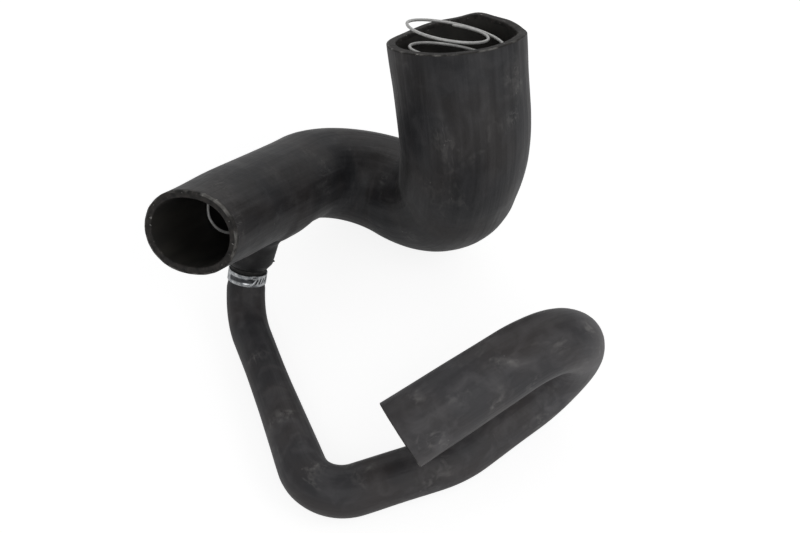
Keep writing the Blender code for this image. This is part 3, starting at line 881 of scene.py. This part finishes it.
band_top = band_inner + BAND_THICKNESS + LAP_RISE
screw_height = band_top + GAP + THREAD_OD / 2
housing_frame = clamp_frame @ Matrix.Rotation(HOUSING_TURN, 4, "Z")
along_screw = Matrix.Rotation(math.radians(90), 4, "X")
screw_frame = housing_frame @ Matrix.Translation((screw_height, 0, 0)) @ along_screw


def soften(obj, angle):
    """Rounds a pressed or turned piece's edges with a small bevel."""
    bevel = obj.modifiers.new("soften", "BEVEL")
    bevel.width = EDGE_BEVEL
    bevel.segments = 2
    bevel.limit_method = "ANGLE"
    bevel.angle_limit = math.radians(angle)
    apply_modifiers(obj)


def clamp_saddle():
    screw_room = THREAD_OD / 2 + GAP
    barrel = screw_room + HOUSING_WALL
    band_room = BAND_WIDTH / 2 + GAP
    cheek = band_room + HOUSING_WALL
    turns = [math.pi * i / ARCH_STEPS for i in range(ARCH_STEPS + 1)]
    arch = [(screw_height + barrel * math.sin(t), barrel * math.cos(t)) for t in turns]
    feet = [(band_inner + BAND_THICKNESS + GAP, cheek), (screw_height - screw_room, cheek)]
    outline = feet + arch + [(x, -z) for x, z in reversed(feet)]
    ends = (-HOUSING_LENGTH / 2, HOUSING_LENGTH / 2)
    body = ring_solid([[Vector((x, y, z)) for x, z in outline] for y in ends])
    saddle = placed("clamp_saddle", body, housing_frame)
    tunnel_profile = [(screw_room, -HOUSING_LENGTH), (screw_room, HOUSING_LENGTH)]
    tunnel = ring_solid(turned_rings(tunnel_profile, TUNNEL_SIDES))
    cut_or_join(saddle, "DIFFERENCE", placed("tunnel", tunnel, screw_frame))
    channel_profile = [(band_top + GAP, -band_room), (band_top + GAP, band_room)]
    channel = ring_solid(turned_rings(channel_profile, CHANNEL_SIDES))
    cut_or_join(saddle, "DIFFERENCE", placed("channel", channel, clamp_frame))
    soften(saddle, 35)
    return saddle


saddle_piece = clamp_saddle()
print(f"saddle: {len(saddle_piece.data.polygons)} faces")

# %% [markdown]
# The screw's worm thread has the slots' pitch, 2.5 mm, and its head is a 7 mm hexagon with a slot and
# a flange. A thread could be a Screw modifier on a tooth, but it is simpler to see it as a cylinder
# whose radius rises and falls with the distance along the axis minus the turn round it.

# %% The worm thread
THREAD_DEPTH = 0.9 * MM
THREAD_PITCH = 2.5 * MM
THREAD_SIDES = 48
THREAD_STEPS = 110
THREAD_RUN_OUT = 1.2 * MM
VALLEY_WIDTH = 0.16
VALLEY_FLAT = 0.55
TAIL_LENGTH = 1.0 * MM
TAIL_SHARE = 0.72
FLANGE_OD = 8.8 * MM
FLANGE_THICKNESS = 0.8 * MM

thread_end = HOUSING_LENGTH / 2
flange_start = thread_end + GAP
screw_start = -thread_end - TAIL_LENGTH


def thread_radius(z, turns_done):
    """The thread's radius at a height and a turn; it runs out at the flange and tapers at its tail."""
    phase = (z / THREAD_PITCH - turns_done) % 1.0
    into_tail = (z + thread_end + TAIL_LENGTH) / TAIL_LENGTH
    valley = smooth(min(phase, 1 - phase) / VALLEY_WIDTH - VALLEY_FLAT) * smooth(into_tail)
    run_out = 1 - smooth((z - thread_end + THREAD_RUN_OUT) / MM)
    taper = min(1.0, TAIL_SHARE + (1 - TAIL_SHARE) * into_tail)
    return (THREAD_OD / 2 - THREAD_DEPTH * valley * run_out) * taper


screw_rings = []
for step in range(THREAD_STEPS + 1):
    z = screw_start + (flange_start - screw_start) * step / THREAD_STEPS
    ring = []
    for k in range(THREAD_SIDES):
        turn = FULL_TURN * k / THREAD_SIDES
        radius = thread_radius(z, k / THREAD_SIDES)
        ring.append(Vector((radius * math.cos(turn), radius * math.sin(turn), z)))
    screw_rings.append(ring)
flange_profile = [(FLANGE_OD / 2, flange_start), (FLANGE_OD / 2, flange_start + FLANGE_THICKNESS)]
screw_rings += turned_rings(flange_profile, THREAD_SIDES)
screw_piece = placed("worm_screw", ring_solid(screw_rings), screw_frame)
print(f"thread and flange: {len(screw_piece.data.polygons)} faces")

# %% [markdown]
# The head is a turned ring with six sides. One bevel over the whole screw would blunt the thread, so
# the head is softened on its own and then joined on. A flat cutter opens the screwdriver slot.

# %% The screw's head
HEAD_ACROSS_FLATS = 7.0 * MM
HEAD_HEIGHT = 4.2 * MM
HEAD_CHAMFER = 0.5 * MM
HEAD_TOP_SHARE = 0.88
DRIVER_SLOT = 1.2 * MM

corner = HEAD_ACROSS_FLATS / 2 / math.cos(math.radians(30))
head_base = flange_start + FLANGE_THICKNESS / 2
head_top = head_base + HEAD_HEIGHT
head_profile = [(corner, head_base), (corner, head_top - HEAD_CHAMFER), (corner * HEAD_TOP_SHARE, head_top)]
head = placed("hexagon", ring_solid(turned_rings(head_profile, 6)), screw_frame)
soften(head, 20)
cut_or_join(screw_piece, "UNION", head)

wide = HEAD_ACROSS_FLATS
deep = DRIVER_SLOT / 2
slot_corners = ((-wide, -deep), (wide, -deep), (wide, deep), (-wide, deep))
slot_heights = (head_top - HEAD_HEIGHT / 2, head_top + HEAD_HEIGHT)
slot_box = ring_solid([[Vector((x, y, z)) for x, y in slot_corners] for z in slot_heights])
cut_or_join(screw_piece, "DIFFERENCE", placed("driver_slot", slot_box, screw_frame))
print(f"screw: {len(screw_piece.data.polygons)} faces")

# %% [markdown]
# Patterns on a bent hose should run along it, not through it like veins through marble. UVs could do
# that, but they need a seam. So each point of a hose remembers where it would be if the hose were
# laid straight: its two distances across, and its distance along. The rubber's patterns read that
# instead of the place in space.

# %% Lay the hoses straight
POINTS_AT_ONCE = 4000


def lay_straight(obj, line):
    """Stores, for each point, its place on the straightened hose."""
    count = len(obj.data.vertices)
    points = np.empty(count * 3)
    obj.data.vertices.foreach_get("co", points)
    points = points.reshape(-1, 3)
    laid = np.empty((count, 3))
    for start in range(0, count, POINTS_AT_ONCE):
        some = points[start:start + POINTS_AT_ONCE]
        nearest = np.argmin(((some[:, None, :] - line.places[None, :, :]) ** 2).sum(axis=2), axis=1)
        away = some - line.places[nearest]
        direction, side = line.directions[nearest], line.sides[nearest]
        other = np.cross(direction, side)
        laid[start:start + POINTS_AT_ONCE] = np.stack([
            (away * side).sum(axis=1), (away * other).sum(axis=1),
            line.distances[nearest] + (away * direction).sum(axis=1)], axis=1)
    attribute = obj.data.attributes.new("laid_straight", "FLOAT_VECTOR", "POINT")
    attribute.data.foreach_set("vector", laid.ravel())
    return laid


main_laid = lay_straight(main_hose, main_line)
hose_laid = lay_straight(branch_hose, hose_line)
print("both hoses carry their straightened places")

# %% [markdown]
# The boss under the tube and the branch hose's end beside the clamp lie in shade, so a near-black
# is laid over them as painted shade. That could be painted on by hand, but distances know the
# places already: how far a point stands above the tube, and how far it is from the clamp's end. A
# mark on each point keeps it for the rubber's materials.

# %% Mark the places of painted shade
BOSS_SHADE_RISE = 4 * MM
CLAMP_SHADE_LENGTH = 5 * MM


def paint_shade(obj, marks):
    """Marks, from 0 to 1, where painted shade darkens the rubber."""
    attribute = obj.data.attributes.new("painted_shade_mark", "FLOAT", "POINT")
    attribute.data.foreach_set("value", np.clip(marks, 0.0, 1.0))


above_tube = np.hypot(main_laid[:, 0], main_laid[:, 1]) - SMALL_END_OD / 2
beside_boss = np.abs(main_laid[:, 2] - BOSS_ALONG_TUBE) < BOSS_ROOT_OD
paint_shade(main_hose, (above_tube / BOSS_SHADE_RISE - 0.5) * beside_boss)
paint_shade(branch_hose, 2.0 - hose_laid[:, 2] / CLAMP_SHADE_LENGTH)
print("points near the boss:", int(beside_boss.sum()))

# %% [markdown]
# Every finish here is built in the same three moves. Blotches of a real size come from noise with
# soft thresholds. A second colour is laid over the first as far as such masks reach. And fine relief
# comes from noises bumped one over the other. Each move takes several nodes, so each is a function.

# %% Ways to finish a surface
def new_material(name):
    material = bpy.data.materials.new(name)
    material.use_nodes = True
    material.node_tree.nodes.clear()
    return material, material.node_tree


def straightened(tree, along=1.0):
    """The straightened place; along under 1 draws a pattern out along the hose."""
    place = add_node(tree, "ShaderNodeAttribute", {"attribute_name": "laid_straight"})
    return add_node(tree, "ShaderNodeMapping", inputs={
        "Vector": place.outputs["Vector"], "Scale": (1.0, 1.0, along)}).outputs["Vector"]


def blotches(tree, place, size, edges, levels=(0.0, 1.0), detail=2.0, distortion=0.0):
    """Blotches about this size across: the first level below the edges, the second above them."""
    spots = add_node(tree, "ShaderNodeTexNoise", inputs={
        "Vector": place, "Scale": 1 / size, "Detail": detail, "Distortion": distortion})
    return add_node(tree, "ShaderNodeMapRange", inputs={
        "Value": spots.outputs["Fac"], "From Min": edges[0], "From Max": edges[1],
        "To Min": levels[0], "To Max": levels[1]}).outputs["Result"]


def lay_over(tree, under, over, amount, *masks):
    """Lays one colour over another by an amount and as far as the masks reach."""
    for mask in masks:
        product = add_node(tree, "ShaderNodeMath", {"operation": "MULTIPLY"}, {0: mask, 1: amount})
        amount = product.outputs[0]
    # A Mix node's sockets share names, so they go by number: 6 and 7 are its colours, 2 its result.
    return add_node(tree, "ShaderNodeMix", {"data_type": "RGBA"}, {0: amount, 6: under, 7: over}).outputs[2]


def relief(tree, *layers):
    """Bumps laid one over the other; a layer is (place, size, detail, strength, height)."""
    below = {}
    for place, size, detail, strength, height in layers:
        bumps = add_node(tree, "ShaderNodeTexNoise", inputs={
            "Vector": place, "Scale": 1 / size, "Detail": detail})
        bump = add_node(tree, "ShaderNodeBump", inputs={
            "Height": bumps.outputs["Fac"], "Strength": strength, "Distance": height, **below})
        below = {"Normal": bump.outputs[0]}
    return bump.outputs[0]


DUST = linear("#8C8A8C")
CHALK = linear("#CFCDC8")
# A near-black for painted shade, laid where the rubber lies in shade.
PAINTED_SHADE = linear("#08080A")
print("dust in linear light:", [round(v, 3) for v in DUST[:3]])

# %% [markdown]
# The pale dust isn't the same all along a hose, and its amount also paints light and shade. The main
# tube carries less than the branch hose. On the branch, less of it gives painted shade beside the
# clamp and on the top of the U-bend, and more gives painted light on the run into the U-bend, which
# the floor lights from below. A colour ramp over the distance along the hose says how much lies where.

# %% Dust and painted light along a hose
MAIN_DUST_AND_PAINTED_LIGHT = ((0.0, 0.50), (60 * MM, 0.45), (200 * MM, 0.55), (300 * MM, 0.50), (350 * MM, 0.62),
             (411 * MM, 0.62))
# On the branch, the low marks near the clamp and at the U-bend's top are painted shade, the high ones
# before it painted light.
BRANCH_DUST_AND_PAINTED_LIGHT = ((0.0, 0.60), (55 * MM, 1.00), (150 * MM, 1.60), (225 * MM, 1.00), (275 * MM, 1.25),
               (345 * MM, 1.95), (400 * MM, 2.40), (440 * MM, 1.15), (490 * MM, 1.65), (546 * MM, 1.65))


def dust_and_painted_light_along(tree, place, marks):
    """How much dust, painted light and painted shade the skin has at each place, from marks of (distance
    along the hose, amount).
    """
    longest = marks[-1][0]
    most = max(amount for _, amount in marks)
    parts = add_node(tree, "ShaderNodeSeparateXYZ", inputs={"Vector": place})
    share = add_node(tree, "ShaderNodeMath", {"operation": "MULTIPLY"}, {
        0: parts.outputs["Z"], 1: 1 / longest})
    ramp = add_node(tree, "ShaderNodeValToRGB", inputs={"Fac": share.outputs[0]})
    stops = ramp.color_ramp.elements
    while len(stops) < len(marks):
        stops.new(0.5)
    for stop, (distance, amount) in zip(stops, marks):
        stop.position = distance / longest
        stop.color = (amount / most, amount / most, amount / most, 1.0)
    return add_node(tree, "ShaderNodeMath", {"operation": "MULTIPLY"}, {
        0: ramp.outputs["Color"], 1: most}).outputs[0]


print("dust marks:", len(MAIN_DUST_AND_PAINTED_LIGHT), "and", len(BRANCH_DUST_AND_PAINTED_LIGHT))

# %% [markdown]
# Handled rubber carries scuffs. Wiped strokes are where a noise passes its middle value, which
# draws thin wandering lines. A narrower pass gives hairline scratches, and the middles of random
# cells give specks. An image of scratches would look real from one side only. All of these keep to
# patches of about 23 mm, where the hose was touched.

# %% Scuffs on the rubber
TOUCHED_SIZE = 23 * MM
NOISE_MIDDLE = 0.5


def scuffed(tree, colour, plain, dust_and_painted_light):
    """Pale strokes, scratches and specks over a colour, in the patches that hands have touched."""
    stroke = add_node(tree, "ShaderNodeTexNoise", inputs={
        "Vector": straightened(tree, 0.6), "Scale": 1 / (14 * MM), "Detail": 2.0, "Distortion": 0.9})
    off_middle = add_node(tree, "ShaderNodeMath", {"operation": "SUBTRACT"}, {
        0: stroke.outputs["Fac"], 1: NOISE_MIDDLE})
    ridge = add_node(tree, "ShaderNodeMath", {"operation": "ABSOLUTE"}, {0: off_middle.outputs[0]})
    wiped = add_node(tree, "ShaderNodeMapRange", inputs={
        "Value": ridge.outputs[0], "From Min": 0.075, "From Max": 0.015}).outputs["Result"]
    wiped_patch = blotches(tree, plain, TOUCHED_SIZE, (0.54, 0.66), detail=1.0)
    crumbs = blotches(tree, plain, 3 * MM, (0.35, 0.65), detail=1.0)
    colour = lay_over(tree, colour, CHALK, 0.11, wiped, wiped_patch, crumbs, dust_and_painted_light)

    scratch = add_node(tree, "ShaderNodeTexNoise", inputs={
        "Vector": straightened(tree, 0.45), "Scale": 1 / (8 * MM), "Detail": 3.0, "Distortion": 0.7})
    hairline = add_node(tree, "ShaderNodeMath", {"operation": "COMPARE"}, {
        0: scratch.outputs["Fac"], 1: NOISE_MIDDLE, 2: 0.006})
    scratched_patch = blotches(tree, plain, TOUCHED_SIZE, (0.60, 0.70), detail=1.0)
    colour = lay_over(tree, colour, CHALK, 0.10, hairline.outputs[0], scratched_patch)

    cells = add_node(tree, "ShaderNodeTexVoronoi", inputs={"Vector": plain, "Scale": 1 / (13 * MM)})
    specks = add_node(tree, "ShaderNodeMapRange", inputs={
        "Value": cells.outputs["Distance"], "From Min": 0.062, "From Max": 0.034}).outputs["Result"]
    touched = blotches(tree, plain, TOUCHED_SIZE, (0.48, 0.66), detail=1.0)
    return lay_over(tree, colour, CHALK, 0.22, specks, touched)


print(f"scuffs keep to patches of {TOUCHED_SIZE / MM:.0f} mm")

# %% [markdown]
# The hoses are EPDM rubber filled with carbon black, wrapped and cured on a mandrel. To the eye that
# is a charcoal that is never quite even, matt, with a low broad shine where we look along it, and a
# bloom of pale dust from storage. The real grain is about 0.1 mm, finer than a pixel, so it is drawn
# at 0.7 mm. The faint lines of the curing wrap are 3.5 mm apart and run far along the hose.

# %% Cured rubber
def cured_rubber(name, cool, warm, drawn_dust, dust_and_light_marks):
    material, tree = new_material(name)
    plain = straightened(tree)
    # The dust amount also paints light and shade along the hose.
    dust_and_painted_light = dust_and_painted_light_along(tree, plain, dust_and_light_marks)
    tint = blotches(tree, plain, 38 * MM, (0.38, 0.62))
    colour = lay_over(tree, linear(cool), linear(warm), tint)
    colour = lay_over(tree, colour, DUST, 0.14, dust_and_painted_light)
    streaks = blotches(tree, straightened(tree, 0.10), 6 * MM, (0.42, 0.78))
    colour = lay_over(tree, colour, DUST, drawn_dust, streaks, dust_and_painted_light)
    clouds = blotches(tree, plain, 12 * MM, (0.46, 0.78), detail=4.0, distortion=0.5)
    colour = lay_over(tree, colour, DUST, 0.20, clouds, dust_and_painted_light)
    smudges = blotches(tree, plain, 7 * MM, (0.54, 0.74), distortion=0.6)
    touched = blotches(tree, plain, TOUCHED_SIZE, (0.48, 0.66), detail=1.0)
    colour = lay_over(tree, colour, CHALK, 0.09, smudges, touched, dust_and_painted_light)
    colour = scuffed(tree, colour, plain, dust_and_painted_light)
    # Painted shade: a near-black over the boss under the tube and the branch hose's end at the clamp.
    painted_shade_mark = add_node(tree, "ShaderNodeAttribute", {"attribute_name": "painted_shade_mark"})
    colour = lay_over(tree, colour, PAINTED_SHADE, 0.75, painted_shade_mark.outputs["Fac"])
    rough = blotches(tree, plain, 12 * MM, (0.3, 0.7), (0.40, 0.54), detail=4.0, distortion=0.5)
    normal = relief(tree, (plain, 0.7 * MM, 2.0, 0.25, 0.12 * MM), (plain, 7 * MM, 3.0, 0.5, 0.5 * MM),
                    (straightened(tree, 0.02), 3.5 * MM, 2.0, 0.9, 0.45 * MM))
    shader = add_node(tree, "ShaderNodeBsdfPrincipled", inputs={
        "Base Color": colour, "Roughness": rough, "Normal": normal,
        "IOR": 1.44, "Sheen Weight": 0.12, "Sheen Roughness": 0.3})
    add_node(tree, "ShaderNodeOutputMaterial", inputs={"Surface": shader.outputs[0]})
    return material


main_skin = cured_rubber("cured_epdm_skin", "#0F1217", "#1F1B1A", 0.20, MAIN_DUST_AND_PAINTED_LIGHT)
branch_skin = cured_rubber("handled_epdm_skin", "#15161C", "#28211F", 0.05, BRANCH_DUST_AND_PAINTED_LIGHT)
print(f"{main_skin.name}: {len(main_skin.node_tree.nodes)} nodes")

# %% [markdown]
# A knife-cut rim shows the rubber's inside: a shade greyer, with the fine chatter of the blade and
# pale nicks. Along its outer edge runs a painted highlight, a pale line broken into patches. The bore
# took the polish of the mandrel and was never handled, so it is even and dark. Rims and bore could
# share a material, but their marks come from different tools.

# %% Cut rims and bore
def cut_rubber():
    material, tree = new_material("knife_cut_epdm")
    plain = straightened(tree)
    tone = blotches(tree, plain, 3.5 * MM, (0.36, 0.68), detail=4.0)
    colour = lay_over(tree, linear("#161514"), linear("#3C3835"), tone)
    nicks = blotches(tree, plain, 2.4 * MM, (0.67, 0.74))
    colour = lay_over(tree, colour, CHALK, 0.5, nicks)
    # Painted highlight: a pale line along the outer edge of each cut, in patches.
    lip_highlight = add_node(tree, "ShaderNodeAttribute", {"attribute_name": "lip_highlight"})
    highlight_patches = blotches(tree, plain, 9 * MM, (0.48, 0.66), detail=3.0)
    colour = lay_over(tree, colour, CHALK, 0.35, highlight_patches, lip_highlight.outputs["Fac"])
    # Painted shade: the same near-black over the rims in those places.
    painted_shade_mark = add_node(tree, "ShaderNodeAttribute", {"attribute_name": "painted_shade_mark"})
    colour = lay_over(tree, colour, PAINTED_SHADE, 0.85, painted_shade_mark.outputs["Fac"])
    shader = add_node(tree, "ShaderNodeBsdfPrincipled", inputs={
        "Base Color": colour, "Roughness": 0.62, "IOR": 1.52,
        "Normal": relief(tree, (plain, 0.9 * MM, 3.0, 0.5, 0.3 * MM))})
    add_node(tree, "ShaderNodeOutputMaterial", inputs={"Surface": shader.outputs[0]})
    return material


def bore_rubber():
    material, tree = new_material("smooth_epdm_bore")
    drawn = straightened(tree, 0.2)
    tone = blotches(tree, drawn, 9 * MM, (0.35, 0.70), detail=3.0)
    colour = lay_over(tree, linear("#2A2927"), linear("#393733"), tone)
    shader = add_node(tree, "ShaderNodeBsdfPrincipled", inputs={
        "Base Color": colour, "Roughness": 0.60, "IOR": 1.52,
        "Normal": relief(tree, (drawn, 9 * MM, 3.0, 0.3, 0.3 * MM))})
    add_node(tree, "ShaderNodeOutputMaterial", inputs={"Surface": shader.outputs[0]})
    return material


SHARP_EDGE = math.radians(40)
cut_rim = cut_rubber()
plain_bore = bore_rubber()
for hose, skin in ((main_hose, main_skin), (branch_hose, branch_skin)):
    for material in (skin, cut_rim, plain_bore):
        hose.data.materials.append(material)
    hose.data.shade_smooth()
    hose.data.set_sharp_from_angle(angle=SHARP_EDGE)
    worn = [face.material_index for face in hose.data.polygons]
    print(hose.name, "faces by material:", [worn.count(kind) for kind in (OUTSIDE, RIM, BORE)])

# %% [markdown]
# The spring is galvanised wire: a soft, whitish grey with a haze over the metal. The clamp is
# zinc-plated steel strip, brighter and smoother, with painted shade in its pressed groove. Both are a
# plated metal, so one recipe serves, with its own brightness and working marks for each. The real
# drawing and rolling marks are some hundredths of a millimetre wide and are drawn at half a millimetre.

# %% Plated steel
def plated_steel(name, light, dark, metallic, roughness, mark_size, mark_depth):
    material, tree = new_material(name)
    place = add_node(tree, "ShaderNodeTexCoord").outputs["Object"]
    spots = blotches(tree, place, 2.5 * MM, (0.35, 0.70), detail=3.0)
    colour = lay_over(tree, linear(light), linear(dark), spots)
    # Painted shade: the pressed groove is darkened towards a dark grey.
    painted_groove_shade = add_node(tree, "ShaderNodeAttribute", {"attribute_name": "pressed"})
    colour = lay_over(tree, colour, linear("#34353A"), 0.88, painted_groove_shade.outputs["Fac"])
    haze = (roughness - 0.05, roughness + 0.08)
    rough = blotches(tree, place, 2.5 * MM, (0.3, 0.7), haze, detail=3.0)
    shader = add_node(tree, "ShaderNodeBsdfPrincipled", inputs={
        "Base Color": colour, "Metallic": metallic, "Roughness": rough,
        "Normal": relief(tree, (place, mark_size, 2.0, 0.3, mark_depth))})
    add_node(tree, "ShaderNodeOutputMaterial", inputs={"Surface": shader.outputs[0]})
    return material


wire_metal = plated_steel("galvanised_spring_wire", "#F2F2F0", "#DADAD8", 0.35, 0.38, 0.5 * MM, 0.05 * MM)
band_metal = plated_steel("zinc_plated_strip", "#F6F8FA", "#A4A9AE", 0.90, 0.18, 0.4 * MM, 0.03 * MM)
clamp_pieces = (clamp_band, saddle_piece, screw_piece)
for piece in (support_spring, *clamp_pieces):
    piece.data.materials.clear()
    piece.data.materials.append(band_metal if piece in clamp_pieces else wire_metal)
    piece.data.shade_smooth()
    piece.data.set_sharp_from_angle(angle=SHARP_EDGE)
    print(piece.name, "wears", piece.data.materials[0].name)

# %% [markdown]
# The pipe inside is black glass-filled nylon, injection moulded. Its fibres give a slight grey
# mottle and a satin surface. Its CAD shape is right as it is, so it only gets this material.

# %% Moulded nylon
def moulded_nylon():
    material, tree = new_material("glass_filled_nylon")
    place = add_node(tree, "ShaderNodeTexCoord").outputs["Object"]
    fibres = blotches(tree, place, 0.8 * MM, (0.4, 0.7), detail=3.0)
    colour = lay_over(tree, linear("#1B1B1C"), linear("#2A2A2B"), fibres)
    shader = add_node(tree, "ShaderNodeBsdfPrincipled", inputs={
        "Base Color": colour, "Roughness": 0.45, "IOR": 1.53,
        "Normal": relief(tree, (place, 0.8 * MM, 3.0, 0.25, 0.1 * MM))})
    add_node(tree, "ShaderNodeOutputMaterial", inputs={"Surface": shader.outputs[0]})
    return material


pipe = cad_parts["connector_pipe"]
pipe.material_slots[0].material = moulded_nylon()
print("the pipe wears", pipe.material_slots[0].material.name)

# %% [markdown]
# Each new piece stands for one node of the imported model and rides on its body. The record's
# material slot is listed beside each.

# %% Tie the pieces to the model
for piece, node, record_slot in (
        (main_hose, "main_hose", "rubber"), (branch_hose, "branch_hose", "rubber"),
        (support_spring, "support_spring", "spring_wire"), (clamp_band, "clamp_band", "clamp_steel"),
        (saddle_piece, "clamp_housing", "clamp_steel"), (screw_piece, "clamp_screw", "clamp_steel")):
    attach(piece, "root")
    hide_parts(node)

# %% [markdown]
# A catalogue picture is taken on white paper. The floor could be pure white, but then its light would
# wash out black rubber. So it looks lighter to the camera than it is to the hose, a little of that
# shows in reflections, and it still takes the hose's own shadow.

# %% The paper floor
FLOOR_SIZE = 8.0
SEEN_LIFT = 0.55
MIRRORED_LIFT = 0.088
FLOOR_GLOW = 1.55


def paper():
    material, tree = new_material("pale_paper_floor")
    matt = add_node(tree, "ShaderNodeBsdfDiffuse", inputs={"Color": linear("#F4F4F4")})
    white = add_node(tree, "ShaderNodeEmission", inputs={
        "Color": linear("#FFFFFF"), "Strength": FLOOR_GLOW})
    path = add_node(tree, "ShaderNodeLightPath")
    mirrored = add_node(tree, "ShaderNodeMath", {"operation": "MULTIPLY"}, {
        0: path.outputs["Is Glossy Ray"], 1: MIRRORED_LIFT})
    lifted = add_node(tree, "ShaderNodeMath", {"operation": "MULTIPLY_ADD"}, {
        0: path.outputs["Is Camera Ray"], 1: SEEN_LIFT, 2: mirrored.outputs[0]})
    blend = add_node(tree, "ShaderNodeMixShader", inputs={
        0: lifted.outputs[0], 1: matt.outputs[0], 2: white.outputs[0]})
    add_node(tree, "ShaderNodeOutputMaterial", inputs={"Surface": blend.outputs[0]})
    return material


half = FLOOR_SIZE / 2
floor_corners = [(-half, -half, 0), (half, -half, 0), (half, half, 0), (-half, half, 0)]
floor_mesh = bpy.data.meshes.new("floor")
floor_mesh.from_pydata(floor_corners, [], [(0, 1, 2, 3)])
floor = placed("floor", floor_mesh)
floor.data.materials.append(paper())
print(f"floor: {FLOOR_SIZE:.0f} m square")

# %% [markdown]
# A soft even sky gives most of the light, as in a white tent. Four soft boxes shape it: one high
# behind, one over the camera, a small one at the front right, and one that lights the floor beside
# the U-bend, so that the paper throws light up at it. Small hard lamps would put sharp glints on
# matt rubber, which the real hose doesn't show.

# %% Sky and lamps
SKY_STRENGTH = 0.27

sky = bpy.data.worlds.new("soft_sky")
bpy.context.scene.world = sky
sky.use_nodes = True
sky.node_tree.nodes["Background"].inputs["Color"].default_value = linear("#FFFFFF")
sky.node_tree.nodes["Background"].inputs["Strength"].default_value = SKY_STRENGTH


def soft_lamp(name, place, aim, width, height, watts):
    """A rectangular soft box that looks at a point."""
    data = bpy.data.lights.new(name, "AREA")
    data.shape = "RECTANGLE"
    data.size = width
    data.size_y = height
    data.energy = watts
    lamp = bpy.data.objects.new(name, data)
    bpy.context.collection.objects.link(lamp)
    lamp.location = place
    lamp.rotation_euler = (Vector(aim) - Vector(place)).to_track_quat("-Z", "Y").to_euler()
    return lamp


middle = (0.0, 0.0, 0.08)
lamps = (
    soft_lamp("back_soft_box", (0.0, 1.3, 0.9), middle, 1.8, 0.8, 3.6),
    soft_lamp("camera_soft_box", (0.0, -1.2, 1.2), middle, 1.0, 0.6, 2.5),
    soft_lamp("front_right_soft_box", (0.8, -0.9, 0.45), middle, 0.8, 0.6, 1.1),
    soft_lamp("floor_soft_box", (0.75, -0.35, 0.9), (0.35, -0.2, 0.0), 0.5, 0.5, 1.1),
)
print("lamps in watts:", [(lamp.name, round(lamp.data.energy, 1)) for lamp in lamps])

# %% [markdown]
# The camera looks down at 48 degrees through a long lens, which keeps the far mouth nearly as big as
# the near one, as in the photograph. Standard view leaves the colours as they were written.

# %% Camera
CAMERA_PLACE = (0.0154, -0.7713, 0.9392)
CAMERA_TILT = math.radians(90 - 48.24)

camera_data = bpy.data.cameras.new("camera")
camera_data.lens = 81.0
camera_data.sensor_width = 36.0
camera_data.clip_start = 0.05
camera_data.clip_end = 20.0
camera = bpy.data.objects.new("camera", camera_data)
bpy.context.collection.objects.link(camera)
camera.location = CAMERA_PLACE
camera.rotation_euler = (CAMERA_TILT, 0.0, 0.0)
bpy.context.scene.camera = camera
bpy.context.scene.view_settings.view_transform = "Standard"
print("camera at", CAMERA_PLACE)
